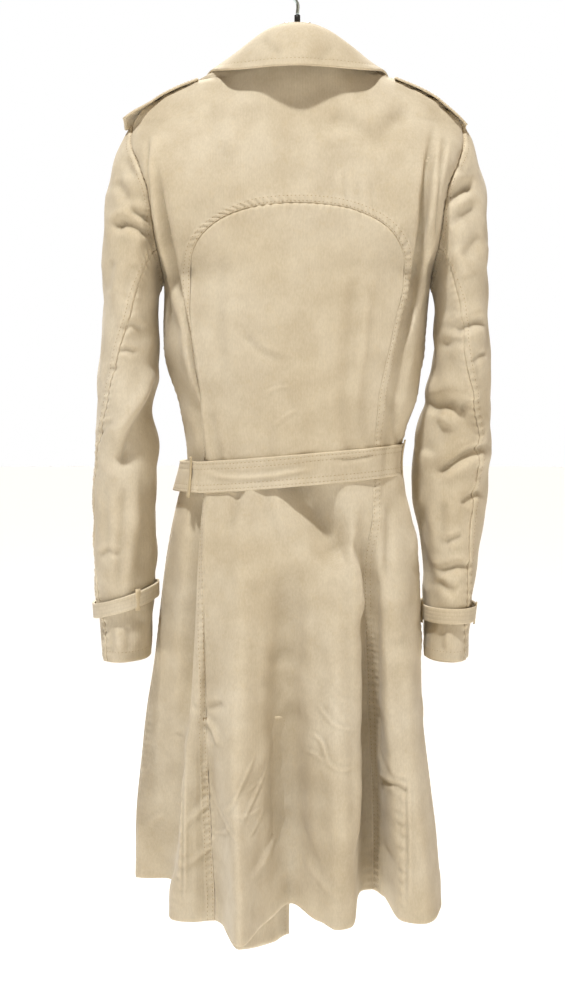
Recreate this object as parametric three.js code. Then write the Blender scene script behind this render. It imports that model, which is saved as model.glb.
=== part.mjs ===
// A trench coat on a hanger: cotton gabardine panels as thin walls, a belt, straps and a hook.
// Millimetres, +Z up. The origin is where the hook rests on a rod. The coat's back faces -Y, its front +Y,
// and the wearer's left is at -X.
import * as THREE from "three";

// Cloth and seams
const cloth = 1.8; // wall of a single panel
const doubled = 2.4; // wall of a strap or collar, two layers turned together
const seamGap = 0.3; // between two pieces that are sewn together

// Heights of the coat
const neckZ = -118; // where the shoulder seam meets the collar
const shoulderPointZ = -182;
const underarmZ = -362;
const archFootZ = -352; // foot of the arched back seam
const archRise = 74;
const archRoundness = 2.3;
const skirtTopZ = -600; // just under the belt
const hemZ = -1074;
const ventTopZ = -845;
const underlapHemZ = -1104;

// Neck and shoulders
const neckHalfWidth = 76;
const shoulderHalfWidth = 186;
const neckCrown = 5; // how much the neck's seam rises to the centre
const shoulderDrop = 42; // from the neck to the sleeve, along a straight line
const shoulderTurn = 22; // how much more it drops over the hanger's end
const neckDepth = 48;
const shoulderRoll = 80; // height over which the cloth rounds off the hanger
const roundness = 2.4; // of the body's cross-section: 2 is an ellipse, more is squarer
const armholeDepth = 56; // how far the armhole's edge stands out from the shoulder seam

// Fronts
const frontEdgeX = 78; // each front passes the centre by this much
const breakZ = -385; // where the lapel starts to turn

// Belt and straps
const belt = { width: 35, middleZ: -569, slope: 0.085, lift: 0.8, slack: 6, slackReach: 1.3, lapGap: 0.5 };
const cuffStrapWidth = 17;
const loop = { thick: 1.2, lift: 0.7, cuffReach: 0.25, cuffTurn: 0.011, beltTurn: 0.06 };
const cuffLift = 1; // how far the cuff straps lie off the sleeves
const lapLift = 6; // how far the left front lies behind the right one
const armholeGap = 1.5; // the sleeve head starts this far outside the armhole

// Hanger and hook
const hook = { wire: 3.6, bend: 20, stemTopZ: -46 };
const ferrule = { radius: 3.3, topZ: -59, bottomZ: -67 };
const hanger = { halfWidth: 148, thick: 14, height: 20, clear: 5, neckHalfWidth: 15, rise: 0.32 };

// Main lines down the coat: side seams, princess seams, and how deep the back and the front stand
const mainLines = [
  { z: -110, sideLeft: -186, seamLeft: -118, seamRight: 118, sideRight: 186, back: 50, front: 56 },
  { z: -182, sideLeft: -186, seamLeft: -118, seamRight: 118, sideRight: 186, back: 60, front: 68 },
  { z: -206, sideLeft: -186, seamLeft: -118, seamRight: 118, sideRight: 186, back: 66, front: 76 },
  { z: -233, sideLeft: -175, seamLeft: -118, seamRight: 118, sideRight: 175, back: 71, front: 82 },
  { z: -262, sideLeft: -165, seamLeft: -118, seamRight: 118, sideRight: 165, back: 76, front: 88 },
  { z: -318, sideLeft: -158, seamLeft: -118, seamRight: 118, sideRight: 158, back: 81, front: 94 },
  { z: -362, sideLeft: -152, seamLeft: -118, seamRight: 116, sideRight: 152, back: 83, front: 96 },
  { z: -415, sideLeft: -153, seamLeft: -118, seamRight: 105, sideRight: 147, back: 85, front: 96 },
  { z: -450, sideLeft: -150, seamLeft: -114, seamRight: 97, sideRight: 143, back: 86, front: 94 },
  { z: -492, sideLeft: -136, seamLeft: -109, seamRight: 89, sideRight: 137, back: 86, front: 90 },
  { z: -531, sideLeft: -129, seamLeft: -105, seamRight: 86, sideRight: 123, back: 85, front: 86 },
  { z: -562, sideLeft: -126, seamLeft: -104, seamRight: 85, sideRight: 118, back: 84, front: 85 },
  { z: -600, sideLeft: -135, seamLeft: -104, seamRight: 84, sideRight: 122, back: 86, front: 88 },
  { z: -666, sideLeft: -149, seamLeft: -104, seamRight: 78, sideRight: 139, back: 92, front: 98 },
  { z: -730, sideLeft: -158, seamLeft: -103, seamRight: 78, sideRight: 143, back: 94, front: 105 },
  { z: -800, sideLeft: -167, seamLeft: -102, seamRight: 80, sideRight: 144, back: 95, front: 112 },
  { z: -870, sideLeft: -178, seamLeft: -101, seamRight: 82, sideRight: 147, back: 95, front: 117 },
  { z: -945, sideLeft: -187, seamLeft: -98, seamRight: 85, sideRight: 156, back: 95, front: 121 },
  { z: -1000, sideLeft: -192, seamLeft: -95, seamRight: 87, sideRight: 163, back: 95, front: 124 },
  { z: -1120, sideLeft: -198, seamLeft: -91, seamRight: 90, sideRight: 172, back: 95, front: 127 },
];
const sideSetback = { left: 70, right: -10 }; // how far each side seam has swung forward at the hem

// Folds of the back, left to right. shoulder, chest, waist, hem: share of the way across the fold's panel.
// bust and out: how far it stands out above the belt and at the hem. from: where below the belt it opens.
const backFolds = [
  {
    name: "sideLeft", panel: "left", shoulder: 0, chest: 0, waist: 0, hem: 0,
    bust: 0, out: 0, from: 0, rise: 0,
  },
  {
    name: "leftHollow", panel: "left", shoulder: 0.37, chest: 0.52, waist: 0.82, hem: 0.43,
    bust: -9, out: -77, from: 0, rise: 4,
  },
  {
    name: "leftPleat", panel: "left", shoulder: 0.55, chest: 0.68, waist: 0.88, hem: 0.53,
    bust: 1, out: 40, from: 0, rise: 0,
  },
  {
    name: "leftPanel", panel: "left", shoulder: 0.76, chest: 0.84, waist: 0.94, hem: 0.76,
    bust: 3, out: 28, from: 0.05, rise: 0,
  },
  {
    name: "seamLeft", panel: "left", shoulder: 1, chest: 1, waist: 1, hem: 1,
    bust: 2, out: 7, from: 0.1, rise: 0,
  },
  {
    name: "ventCrest", panel: "centre", shoulder: 0.19, chest: 0.19, waist: 0.19, hem: 0.165,
    bust: 1, out: 74, from: 0.15, rise: 0,
  },
  {
    name: "ventFall", panel: "centre", shoulder: 0.34, chest: 0.34, waist: 0.34, hem: 0.3,
    bust: 0, out: 16, from: 0.1, rise: 3,
  },
  {
    name: "centreHollow", panel: "centre", shoulder: 0.54, chest: 0.54, waist: 0.54, hem: 0.47,
    bust: 0, out: -40, from: 0, rise: 11,
  },
  {
    name: "centreTurn", panel: "centre", shoulder: 0.68, chest: 0.68, waist: 0.68, hem: 0.637,
    bust: 0, out: -4, from: 0, rise: 3,
  },
  {
    name: "rightCrest", panel: "centre", shoulder: 0.84, chest: 0.84, waist: 0.85, hem: 0.74,
    bust: 1, out: 17, from: 0, rise: 0,
  },
  {
    name: "rightEdge", panel: "centre", shoulder: 0.9, chest: 0.9, waist: 0.905, hem: 0.835,
    bust: 1, out: 9, from: 0, rise: 0,
  },
  {
    name: "deepHollow", panel: "centre", shoulder: 0.95, chest: 0.95, waist: 0.95, hem: 0.934,
    bust: 1, out: -76, from: 0, rise: 12,
  },
  {
    name: "seamRight", panel: "centre", shoulder: 1, chest: 1, waist: 1, hem: 1,
    bust: 2, out: -78, from: 0, rise: 12,
  },
  {
    name: "deepTurn", panel: "right", shoulder: 0.3, chest: 0.18, waist: 0.13, hem: 0.14,
    bust: 1, out: -66, from: 0, rise: 8,
  },
  {
    name: "rightPleat", panel: "right", shoulder: 0.54, chest: 0.38, waist: 0.3, hem: 0.35,
    bust: -9, out: 0, from: 0, rise: 0,
  },
  {
    name: "rightPanel", panel: "right", shoulder: 0.8, chest: 0.7, waist: 0.66, hem: 0.7,
    bust: 0, out: 25, from: 0, rise: 0,
  },
  {
    name: "sideRight", panel: "right", shoulder: 1, chest: 1, waist: 1, hem: 1,
    bust: 0, out: 0, from: 0, rise: 0,
  },
];

// Folds of the front, from the right side seam to the left one; at: share of the way round
const frontFolds = [
  { name: "sideRight", at: 0, out: 0 },
  { name: "crestA", at: 0.1, out: 18 },
  { name: "hollowA", at: 0.2, out: -26 },
  { name: "crestB", at: 0.31, out: 14 },
  { name: "hollowB", at: 0.41, out: -8 },
  { name: "middle", at: 0.5, out: 8 },
  { name: "hollowC", at: 0.6, out: -12 },
  { name: "crestC", at: 0.7, out: 18 },
  { name: "hollowD", at: 0.8, out: -28 },
  { name: "crestD", at: 0.9, out: 20 },
  { name: "sideLeft", at: 1, out: 0 },
];

// Sleeves: outer and inner distance from the coat's centre, middle and half depth, and where the back seam
// runs (share of a turn from the outer edge)
const sleeveRings = {
  left: [
    { z: -395, outer: 222, inner: 159, middle: 4, depth: 66, seam: 0.285 },
    { z: -445, outer: 226, inner: 160, middle: 4, depth: 66, seam: 0.22 },
    { z: -492, outer: 229, inner: 160, middle: 2, depth: 64, seam: 0.17 },
    { z: -540, outer: 232, inner: 162, middle: 2, depth: 63, seam: 0.13 },
    { z: -600, outer: 235, inner: 163, middle: 6, depth: 61, seam: 0.075 },
    { z: -660, outer: 235, inner: 165, middle: 12, depth: 60, seam: 0.05 },
    { z: -715, outer: 233, inner: 167, middle: 16, depth: 58, seam: 0.11 },
    { z: -760, outer: 230, inner: 169, middle: 18, depth: 57, seam: 0.14 },
    { z: -790, outer: 228, inner: 172, middle: 18, depth: 56, seam: 0.15 },
  ],
  right: [
    { z: -395, outer: 217, inner: 158, middle: 4, depth: 66, seam: 0.29 },
    { z: -445, outer: 221, inner: 156, middle: 6, depth: 66, seam: 0.265 },
    { z: -492, outer: 223, inner: 148, middle: 14, depth: 62, seam: 0.2 },
    { z: -540, outer: 226, inner: 137, middle: 22, depth: 58, seam: 0.16 },
    { z: -600, outer: 221, inner: 135, middle: 26, depth: 56, seam: 0.16 },
    { z: -660, outer: 214, inner: 145, middle: 26, depth: 56, seam: 0.17 },
    { z: -715, outer: 206, inner: 149, middle: 22, depth: 56, seam: 0.16 },
    { z: -760, outer: 201, inner: 149, middle: 20, depth: 56, seam: 0.14 },
    { z: -790, outer: 200, inner: 150, middle: 20, depth: 56, seam: 0.135 },
  ],
};
const capBulge = { outer: 13, back: 4 }; // how far the sleeve head stands out past a straight line
const frontSleeveSeam = 0.3; // share of a turn from the outer edge, on the front

// Small helpers
const clamp = (v, low, high) => Math.min(high, Math.max(low, v));
const mix = (a, b, t) => a + (b - a) * t;
const ease = (t) => {
  const s = clamp(t, 0, 1);
  return s * s * (3 - 2 * s);
};

// Catmull-Rom value between p1 and p2
function spline(p0, p1, p2, p3, t) {
  const a = 2 * p1;
  const b = p2 - p0;
  const c = 2 * p0 - 5 * p1 + 4 * p2 - p3;
  const d = 3 * p1 - p0 - 3 * p2 + p3;
  return 0.5 * (a + b * t + c * t * t + d * t * t * t);
}

// The same for places in a plane whose spacing is uneven: the centripetal form, which makes no loops
function smoothPlace([p0, p1, p2, p3], t) {
  const gap = (a, b) => Math.max(Math.hypot(b[0] - a[0], b[1] - a[1]) ** 0.5, 0.01);
  const before = gap(p0, p1);
  const here = gap(p1, p2);
  const after = gap(p2, p3);
  return [0, 1].map((k) => {
    const step = p2[k] - p1[k];
    const start = step + here * ((p1[k] - p0[k]) / before - (p2[k] - p0[k]) / (before + here));
    const end = step + here * ((p3[k] - p2[k]) / after - (p3[k] - p1[k]) / (here + after));
    const cubic = start + end - 2 * step;
    return p1[k] + t * (start + t * (3 * step - 2 * start - end + t * cubic));
  });
}

// A column of a table whose rows run down in z, at height z
function atHeight(rows, z, column) {
  let i = 0;
  while (i < rows.length - 2 && z < rows[i + 1].z) i += 1;
  const t = clamp((rows[i].z - z) / (rows[i].z - rows[i + 1].z), 0, 1);
  const before = rows[Math.max(i - 1, 0)];
  const after = rows[Math.min(i + 2, rows.length - 1)];
  const span = rows[i].z - rows[i + 1].z;
  const slope = (a, b) => ((b[column] - a[column]) / (a.z - b.z)) * span;
  const m0 = i > 0 ? slope(before, rows[i + 1]) : slope(rows[0], rows[1]);
  const m1 = i < rows.length - 2 ? slope(rows[i], after) : slope(rows[i], rows[i + 1]);
  const t2 = t * t;
  const t3 = t2 * t;
  return (2 * t3 - 3 * t2 + 1) * rows[i][column] + (t3 - 2 * t2 + t) * m0 +
    (3 * t2 - 2 * t3) * rows[i + 1][column] + (t3 - t2) * m1;
}

// The coat's top line: the neck's curve, then the shoulder line down to the sleeve
function topZ(x) {
  const r = Math.abs(x);
  if (r < neckHalfWidth) return neckZ + neckCrown * (1 - (r / neckHalfWidth) ** 2);
  const s = (r - neckHalfWidth) / (shoulderHalfWidth - neckHalfWidth);
  return neckZ - shoulderDrop * s - shoulderTurn * s ** 6;
}

// How far a point of the back or front stands off the shoulder seam's plane, without its folds
function standOff(x, z, depth, lines, neckReach = 0) {
  const half = x < 0 ? -lines.sideLeft : lines.sideRight;
  const share = clamp(Math.abs(x) / half, 0, 1);
  const full = depth * (1 - share ** roundness) ** (1 / roundness);
  const drop = clamp((topZ(x) - z) / shoulderRoll, 0, 1);
  const roll = Math.sqrt(1 - (1 - drop) ** 2);
  const neck = Math.abs(x) < neckHalfWidth ? neckReach * Math.sqrt(1 - (x / neckHalfWidth) ** 2) : 0;
  const rise = clamp((z - underarmZ) / (shoulderPointZ - underarmZ), 0, 1);
  const armhole = armholeDepth * Math.sin(Math.PI * rise) ** 1.1 * share ** 3;
  return armhole + Math.min(neck, full) + (full - Math.min(neck, full)) * roll;
}

function sideY(x, z, lines) {
  const down = clamp((skirtTopZ - z) / (skirtTopZ - hemZ), 0, 1.1);
  const half = x < 0 ? -lines.sideLeft : lines.sideRight;
  const swing = x < 0 ? sideSetback.left : sideSetback.right;
  return swing * down ** 1.3 * clamp(x / half, -1, 1) ** 2;
}

function opened(fold, z) {
  const down = clamp((skirtTopZ - z) / (skirtTopZ - hemZ), 0, 1.06);
  const s = Math.max(0, (down - (fold.from ?? 0)) / (1 - (fold.from ?? 0)));
  return s < 1 ? 0.45 * s + 0.55 * s * s * (3 - 2 * s) : s;
}

const lineNames = ["sideLeft", "seamLeft", "seamRight", "sideRight", "back", "front"];
const linesCache = new Map();
function linesAt(z) {
  const key = z.toFixed(3);
  if (!linesCache.has(key)) {
    linesCache.set(key, Object.fromEntries(lineNames.map((n) => [n, atHeight(mainLines, z, n)])));
  }
  return linesCache.get(key);
}

function backFoldPoint(i, z) {
  const fold = backFolds[i];
  const lines = linesAt(z);
  let share;
  const toShoulder = (z - underarmZ) / (shoulderPointZ - underarmZ);
  const toChest = (z - skirtTopZ) / (underarmZ - skirtTopZ);
  if (z > underarmZ) share = mix(fold.chest, fold.shoulder, ease(toShoulder));
  else if (z > skirtTopZ) share = mix(fold.waist, fold.chest, ease(toChest));
  else share = mix(fold.waist, fold.hem, clamp((skirtTopZ - z) / (skirtTopZ - hemZ), 0, 1.06));
  const ends = {
    left: [lines.sideLeft, lines.seamLeft],
    centre: [lines.seamLeft, lines.seamRight],
    right: [lines.seamRight, lines.sideRight],
  }[fold.panel];
  const x = mix(ends[0], ends[1], share);
  const chest = Math.sin(Math.PI * clamp((z - skirtTopZ) / (shoulderPointZ - skirtTopZ), 0, 1));
  const base = sideY(x, z, lines) - standOff(x, z, lines.back, lines, neckDepth);
  return [x, base - fold.bust * chest - fold.out * opened(fold, z)];
}

function frontFoldPoint(i, z) {
  const fold = frontFolds[i];
  const lines = linesAt(z);
  const middle = (lines.sideLeft + lines.sideRight) / 2;
  const half = (lines.sideRight - lines.sideLeft) / 2;
  const x = middle + half * Math.cos(Math.PI * fold.at);
  return [x, sideY(x, z, lines) + standOff(x, z, lines.front, lines) + fold.out * opened(fold, z)];
}

// A point of the coat's outer face; along counts the folds from one side seam to the other
function ringPoint(pointOf, neighbourOf, last, along, z) {
  const i = clamp(Math.floor(along), 0, last - 1);
  const t = along - i;
  const p0 = i > 0 ? pointOf(i - 1, z) : neighbourOf(0, z);
  const p3 = i < last - 1 ? pointOf(i + 2, z) : neighbourOf(1, z);
  const [x, y] = smoothPlace([p0, pointOf(i, z), pointOf(i + 1, z), p3], t);
  return new THREE.Vector3(x, y, z);
}
const backLast = backFolds.length - 1;
const frontLast = frontFolds.length - 1;
const backFace = (along, z) =>
  ringPoint(backFoldPoint, (end, h) => frontFoldPoint(end ? 1 : frontLast - 1, h), backLast, along, z);
const frontFace = (along, z) =>
  ringPoint(frontFoldPoint, (end, h) => backFoldPoint(end ? 1 : backLast - 1, h), frontLast, along, z);

// Where the face has a given x at height z
function alongAt(face, x, z, low, high) {
  const falls = face(low, z).x > face(high, z).x;
  let a = low;
  let b = high;
  for (let k = 0; k < 30; k += 1) {
    const m = (a + b) / 2;
    if (face(m, z).x > x === falls) a = m;
    else b = m;
  }
  return (a + b) / 2;
}

// A face's point moved out along its normal
function movedOut(face, along, z, out) {
  const p = face(along, z);
  const across = face(along + 0.02, z).sub(face(along - 0.02, z));
  const up = p.clone().sub(face(along, z - 2));
  return p.add(across.cross(up).normalize().multiplyScalar(out));
}

// Moves the edges of a grid towards its inside, half a seam's gap each
function openSeams(grid, edges) {
  const rows = grid.length;
  const columns = grid[0].length;
  const pull = (p, q) => p.clone().add(q.clone().sub(p).setLength(seamGap / 2));
  const copy = grid.map((row) => row.map((p) => p.clone()));
  for (let i = 0; i < rows; i += 1) {
    if (edges.includes("first")) copy[i][0] = pull(grid[i][0], grid[i][1]);
    if (edges.includes("last")) copy[i][columns - 1] = pull(grid[i][columns - 1], grid[i][columns - 2]);
  }
  for (let j = 0; j < columns; j += 1) {
    if (edges.includes("bottom")) copy[0][j] = pull(copy[0][j], copy[1][j]);
    if (edges.includes("top")) copy[rows - 1][j] = pull(copy[rows - 1][j], copy[rows - 2][j]);
  }
  return copy;
}

// One closed body between an outer and an inner grid of points; a ring joins its last column to its first
function wall(outer, inner, ring = false) {
  const rows = outer.length;
  const columns = outer[0].length;
  const points = [...outer.flat(), ...inner.flat()];
  const at = (layer, i, j) => layer * rows * columns + i * columns + (j % columns);
  const faces = [];
  const quad = (a, b, c, d) => faces.push(a, b, c, a, c, d);
  const spans = ring ? columns : columns - 1;
  for (let i = 0; i < rows - 1; i += 1) {
    for (let j = 0; j < spans; j += 1) {
      quad(at(0, i, j), at(0, i, j + 1), at(0, i + 1, j + 1), at(0, i + 1, j));
      quad(at(1, i + 1, j), at(1, i + 1, j + 1), at(1, i, j + 1), at(1, i, j));
    }
    if (!ring) {
      quad(at(0, i, 0), at(0, i + 1, 0), at(1, i + 1, 0), at(1, i, 0));
      const end = columns - 1;
      quad(at(1, i, end), at(1, i + 1, end), at(0, i + 1, end), at(0, i, end));
    }
  }
  for (let j = 0; j < spans; j += 1) {
    quad(at(1, 0, j), at(1, 0, j + 1), at(0, 0, j + 1), at(0, 0, j));
    quad(at(0, rows - 1, j), at(0, rows - 1, j + 1), at(1, rows - 1, j + 1), at(1, rows - 1, j));
  }
  let volume = 0;
  for (let k = 0; k < faces.length; k += 3) {
    volume += points[faces[k]].dot(points[faces[k + 1]].clone().cross(points[faces[k + 2]]));
  }
  if (volume < 0) faces.reverse();
  const geometry = new THREE.BufferGeometry().setFromPoints(points);
  geometry.setIndex(faces);
  geometry.computeVertexNormals();
  return geometry;
}

// A wall given by its middle places: rows of [along, z] on a face, between two distances from it
function wallOnFace(face, places, out, thick, edges = []) {
  const layer = (distance) => {
    const grid = places.map((row) => row.map(([u, z]) => movedOut(face, u, z, distance)));
    return openSeams(grid, edges);
  };
  return wall(layer(out), layer(out - thick));
}

// A free sheet: the wall is laid behind a grid of outer points, on the side away from `outside`
function freeWall(grid, thick, outside, ring = false) {
  const rows = grid.length;
  const columns = grid[0].length;
  const inner = grid.map((row, i) => row.map((p, j) => {
    const right = ring ? row[(j + 1) % columns] : row[Math.min(j + 1, columns - 1)];
    const left = ring ? row[(j + columns - 1) % columns] : row[Math.max(j - 1, 0)];
    const high = grid[Math.min(i + 1, rows - 1)][j];
    const low = grid[Math.max(i - 1, 0)][j];
    const normal = right.clone().sub(left).cross(high.clone().sub(low)).normalize();
    return p.clone().addScaledVector(normal, -outside * thick);
  }));
  return wall(grid, inner, ring);
}

const range = (n) => Array.from({ length: n + 1 }, (unused, i) => i / n);
const nearTop = (s) => 1 - (1 - s) ** 1.6; // crowds rows towards the shoulders

// Materials
const gabardine = (color) => new THREE.MeshStandardMaterial({ color, roughness: 0.8, metalness: 0 });
const clothColour = 0xd9c7a2;
const trimColour = 0xcdb98f;
const steel = () => new THREE.MeshStandardMaterial({ color: 0xc9d3d4, roughness: 0.3, metalness: 0.9 });
const darkPlastic = () => new THREE.MeshStandardMaterial({ color: 0x2b2a28, roughness: 0.5, metalness: 0 });
const hornPlastic = () => new THREE.MeshStandardMaterial({ color: 0x8a6f4d, roughness: 0.4, metalness: 0 });

const coat = new THREE.Group();
function place(parent, name, geometry, material) {
  const mesh = new THREE.Mesh(geometry, material);
  mesh.name = name;
  parent.add(mesh);
  return mesh;
}

// Back: the centre panel ends in an arch, and one outer panel runs round it as yoke and side backs
const seamLeft = backFolds.findIndex((f) => f.name === "seamLeft");
const seamRight = backFolds.findIndex((f) => f.name === "seamRight");
const panelSteps = 3; // columns between two folds
const centreColumns = (seamRight - seamLeft) * panelSteps;
const hemRise = (along) => {
  const i = clamp(Math.floor(along), 0, backLast - 1);
  return mix(backFolds[i].rise, backFolds[i + 1].rise, ease(along - i));
};
const skirtRows = [0, 0.07, 0.18, 0.3, 0.43, 0.57, 0.7, 0.81, 0.91, 1];
const waistRows = [-581, -562, -546, -531, -492, -450, -405, underarmZ, archFootZ];

function archZ(along) {
  const left = backFoldPoint(seamLeft, archFootZ)[0];
  const right = backFoldPoint(seamRight, archFootZ)[0];
  const x = backFace(along, archFootZ).x;
  const share = clamp(Math.abs((2 * x - left - right) / (right - left)), 0, 1);
  return archFootZ + archRise * (1 - share ** archRoundness) ** (1 / archRoundness);
}

// Heights up one column of the back, from its hem to the foot of the arch
const columnHeights = (along) => [
  ...skirtRows.map((s) => mix(hemZ + hemRise(along), skirtTopZ, s)),
  ...waistRows,
];

function centreBack() {
  const columns = range(centreColumns).map((s) => mix(seamLeft, seamRight, s));
  const firstTop = skirtRows.length + 1; // rows from here up stretch towards the arch
  const heights = columns.map((along) => {
    const own = columnHeights(along);
    const base = own[firstTop];
    const stretch = (archZ(along) - base) / (archFootZ - base);
    return own.map((z, k) => (k > firstTop ? base + (z - base) * stretch : z));
  });
  const places = heights[0].map((unused, k) => columns.map((along, j) => [along, heights[j][k]]));
  return wallOnFace(backFace, places, 0, cloth, ["first", "last", "top"]);
}

// Round the arch, the outer panel's outside edge climbs the armhole, the shoulder and the neck
const outlineStations = { shoulderLeft: 4, neckLeft: 7, neckRight: 15, shoulderRight: 19 };
function outline(k) {
  const s = outlineStations;
  const topAt = (x) => [alongAt(backFace, x, shoulderPointZ, 0, backLast), topZ(x)];
  if (k <= s.shoulderLeft) return [0, mix(archFootZ, shoulderPointZ, k / s.shoulderLeft)];
  const between = (from, to) => (k - from) / (to - from);
  if (k < s.neckLeft) {
    return topAt(mix(-shoulderHalfWidth, -neckHalfWidth, between(s.shoulderLeft, s.neckLeft)));
  }
  if (k <= s.neckRight) {
    return topAt(mix(-neckHalfWidth, neckHalfWidth, between(s.neckLeft, s.neckRight)));
  }
  if (k < s.shoulderRight) {
    return topAt(mix(neckHalfWidth, shoulderHalfWidth, between(s.neckRight, s.shoulderRight)));
  }
  return [backLast, mix(shoulderPointZ, archFootZ, between(s.shoulderRight, centreColumns))];
}

function outerBack() {
  const steps = 8; // from the seam out to the side
  const sideColumn = (seam, side) => {
    const heights = columnHeights(seam);
    return heights.map((z, k) => range(steps).map((s) => {
      const along = mix(seam, side, s);
      return [along, k < skirtRows.length ? columnHeights(along)[k] : z];
    }));
  };
  const left = sideColumn(seamLeft, 0);
  const right = sideColumn(seamRight, backLast);
  const over = range(centreColumns).slice(1, -1).map((share, k) => {
    const along = mix(seamLeft, seamRight, share);
    const [outAlong, outZ] = outline(k + 1);
    return range(steps).map(nearTop).map((s) => [mix(along, outAlong, s), mix(archZ(along), outZ, s)]);
  });
  return wallOnFace(backFace, [...left, ...over, ...right.reverse()], 0, cloth, ["first", "last"]);
}

// Under the vent, a flap of the side back lies behind the centre panel and hangs lower than it
function ventUnderlap() {
  const rows = [0, 0.15, 0.35, 0.6, 0.82, 1];
  const grid = rows.map((down) => range(10).map((s) => {
    const z = mix(ventTopZ, underlapHemZ, down);
    const onPanel = Math.max(z, hemZ);
    const x = mix(linesAt(onPanel).seamLeft + 3, -9, s);
    const along = alongAt(backFace, x, onPanel, seamLeft, seamRight);
    const panelY = backFace(along, onPanel).y;
    const flat = -78 - 18 * Math.sin(Math.PI * s) + 33 * s * s;
    return new THREE.Vector3(x, Math.max(panelY + 5, mix(panelY + 5, flat, ease(down * 1.3))), z);
  }));
  return freeWall(grid, cloth, -1);
}

// Fronts: the right one lies over the left one; above the break each edge turns back along its roll line
const frontWaistRows = [-581, -562, -546, -531, -492, -440, breakZ];
const frontHeights = [...skirtRows.map((s) => mix(hemZ, skirtTopZ, s)), ...frontWaistRows];
const frontTopSteps = 8;

const rollX = (z) => mix(-frontEdgeX, neckHalfWidth, clamp((z - breakZ) / (neckZ - breakZ), 0, 1));

// The left front drops behind the right one where they pass each other
function frontUnder(x, z) {
  return -lapLift * ease((x + 122) / 34) * ease((-200 - z) / 45);
}

function frontPanel(right) {
  const sign = right ? 1 : -1;
  const side = right ? 0 : frontLast;
  const columns = 14;
  const edgeAlong = (z) => alongAt(frontFace, sign * rollX(z), z, 0, frontLast);
  const low = frontHeights.map((z) => range(columns).map((s) => [mix(side, edgeAlong(z), s), z]));
  const edgeLow = edgeAlong(breakZ);
  const high = range(frontTopSteps).slice(1).map(nearTop).map((up) => range(columns).map((s) => {
    const topX = sign * mix(shoulderHalfWidth, neckHalfWidth, s);
    const topAlong = alongAt(frontFace, topX, topZ(topX), 0, frontLast);
    const straight = mix(edgeLow, alongAt(frontFace, sign * neckHalfWidth, neckZ, 0, frontLast), up);
    const bow = edgeAlong(mix(breakZ, neckZ, up)) - straight;
    return [mix(mix(side, edgeLow, s), topAlong, up) + s * bow, mix(breakZ, topZ(topX), up)];
  }));
  const places = [...low, ...high];
  const layer = (distance) => openSeams(
    places.map((row) => row.map(([u, z]) => {
      const under = right ? 0 : frontUnder(frontFace(u, z).x, z);
      return movedOut(frontFace, u, z, distance + under);
    })),
    ["first", "top"],
  );
  return wall(layer(0), layer(-cloth));
}

// Lapels lie on the fronts, from the roll line out to a point
const lapel = { topZ: -184, width: 84, pointAt: 0.8, notch: 0.45, drop: 22, lift: 0.7 };
function lapelPanel(right) {
  const sign = right ? 1 : -1;
  const bottomZ = right ? breakZ + 8 : breakZ + 30;
  const grid = (distance) => range(12).map((t) => range(5).map((w) => {
    const rollZ = mix(bottomZ, lapel.topZ, t);
    const roll = right ? rollX(rollZ) + 2 : Math.max(rollX(rollZ), -rollX(rollZ)) + 4;
    const rising = (t / lapel.pointAt) ** 0.9;
    const falling = 1 - lapel.notch * (t - lapel.pointAt) / (1 - lapel.pointAt);
    const shape = t < lapel.pointAt ? rising : falling;
    const x = sign * (roll + w * lapel.width * Math.max(shape, 0.03));
    const z = rollZ - w * lapel.drop * shape;
    const along = alongAt(frontFace, x, z, 0, frontLast);
    return movedOut(frontFace, along, z, distance);
  }));
  return wall(grid(lapel.lift + doubled), grid(lapel.lift));
}

// Collar: stations from the centre back round to the front, for the right half
const collarRows = [
  { at: 0, foldX: 0, foldY: -42, foldZ: -79, edgeX: 0, edgeY: -69, edgeZ: -131, bulge: 8 },
  { at: 0.2, foldX: 28, foldY: -38, foldZ: -83, edgeX: 40, edgeY: -66, edgeZ: -131, bulge: 7 },
  { at: 0.4, foldX: 50, foldY: -27, foldZ: -97, edgeX: 78, edgeY: -50, edgeZ: -130, bulge: 5 },
  { at: 0.6, foldX: 69, foldY: -2, foldZ: -109, edgeX: 99, edgeY: -4, edgeZ: -123, bulge: 2 },
  { at: 0.8, foldX: 66, foldY: 36, foldZ: -126, edgeX: 107, edgeY: 36, edgeZ: -135, bulge: 4 },
  { at: 1, foldX: 47, foldY: 67, foldZ: -165, edgeX: 103, edgeY: 72, edgeZ: -188, bulge: 3 },
];
function collarValue(at, column) {
  const s = Math.abs(at);
  const i = clamp(Math.floor(s * 5), 0, 4);
  const pick = (k) => {
    if (k >= 0) return collarRows[Math.min(k, 5)][column];
    return collarRows[-k][column] * (column.endsWith("X") ? -1 : 1);
  };
  return spline(pick(i - 1), pick(i), pick(i + 1), pick(i + 2), s * 5 - i);
}
function collarPoint(at, down) {
  const sign = at < 0 ? -1 : 1;
  const fold = new THREE.Vector3(
    sign * collarValue(at, "foldX"), collarValue(at, "foldY"), collarValue(at, "foldZ"));
  const edge = new THREE.Vector3(
    sign * collarValue(at, "edgeX"), collarValue(at, "edgeY"), collarValue(at, "edgeZ"));
  const outward = new THREE.Vector3(edge.x - fold.x, edge.y - fold.y, 0).normalize();
  const swell = collarValue(at, "bulge") * Math.sin(Math.PI * down ** 0.6);
  return fold.lerp(edge, down).addScaledVector(outward, swell).setZ(fold.z + swell * 0.5);
}
function collarFall() {
  const grid = range(6).map((down) => range(26).map((s) => collarPoint(2 * s - 1, down)));
  return freeWall(grid.reverse(), doubled, 1);
}
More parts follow.
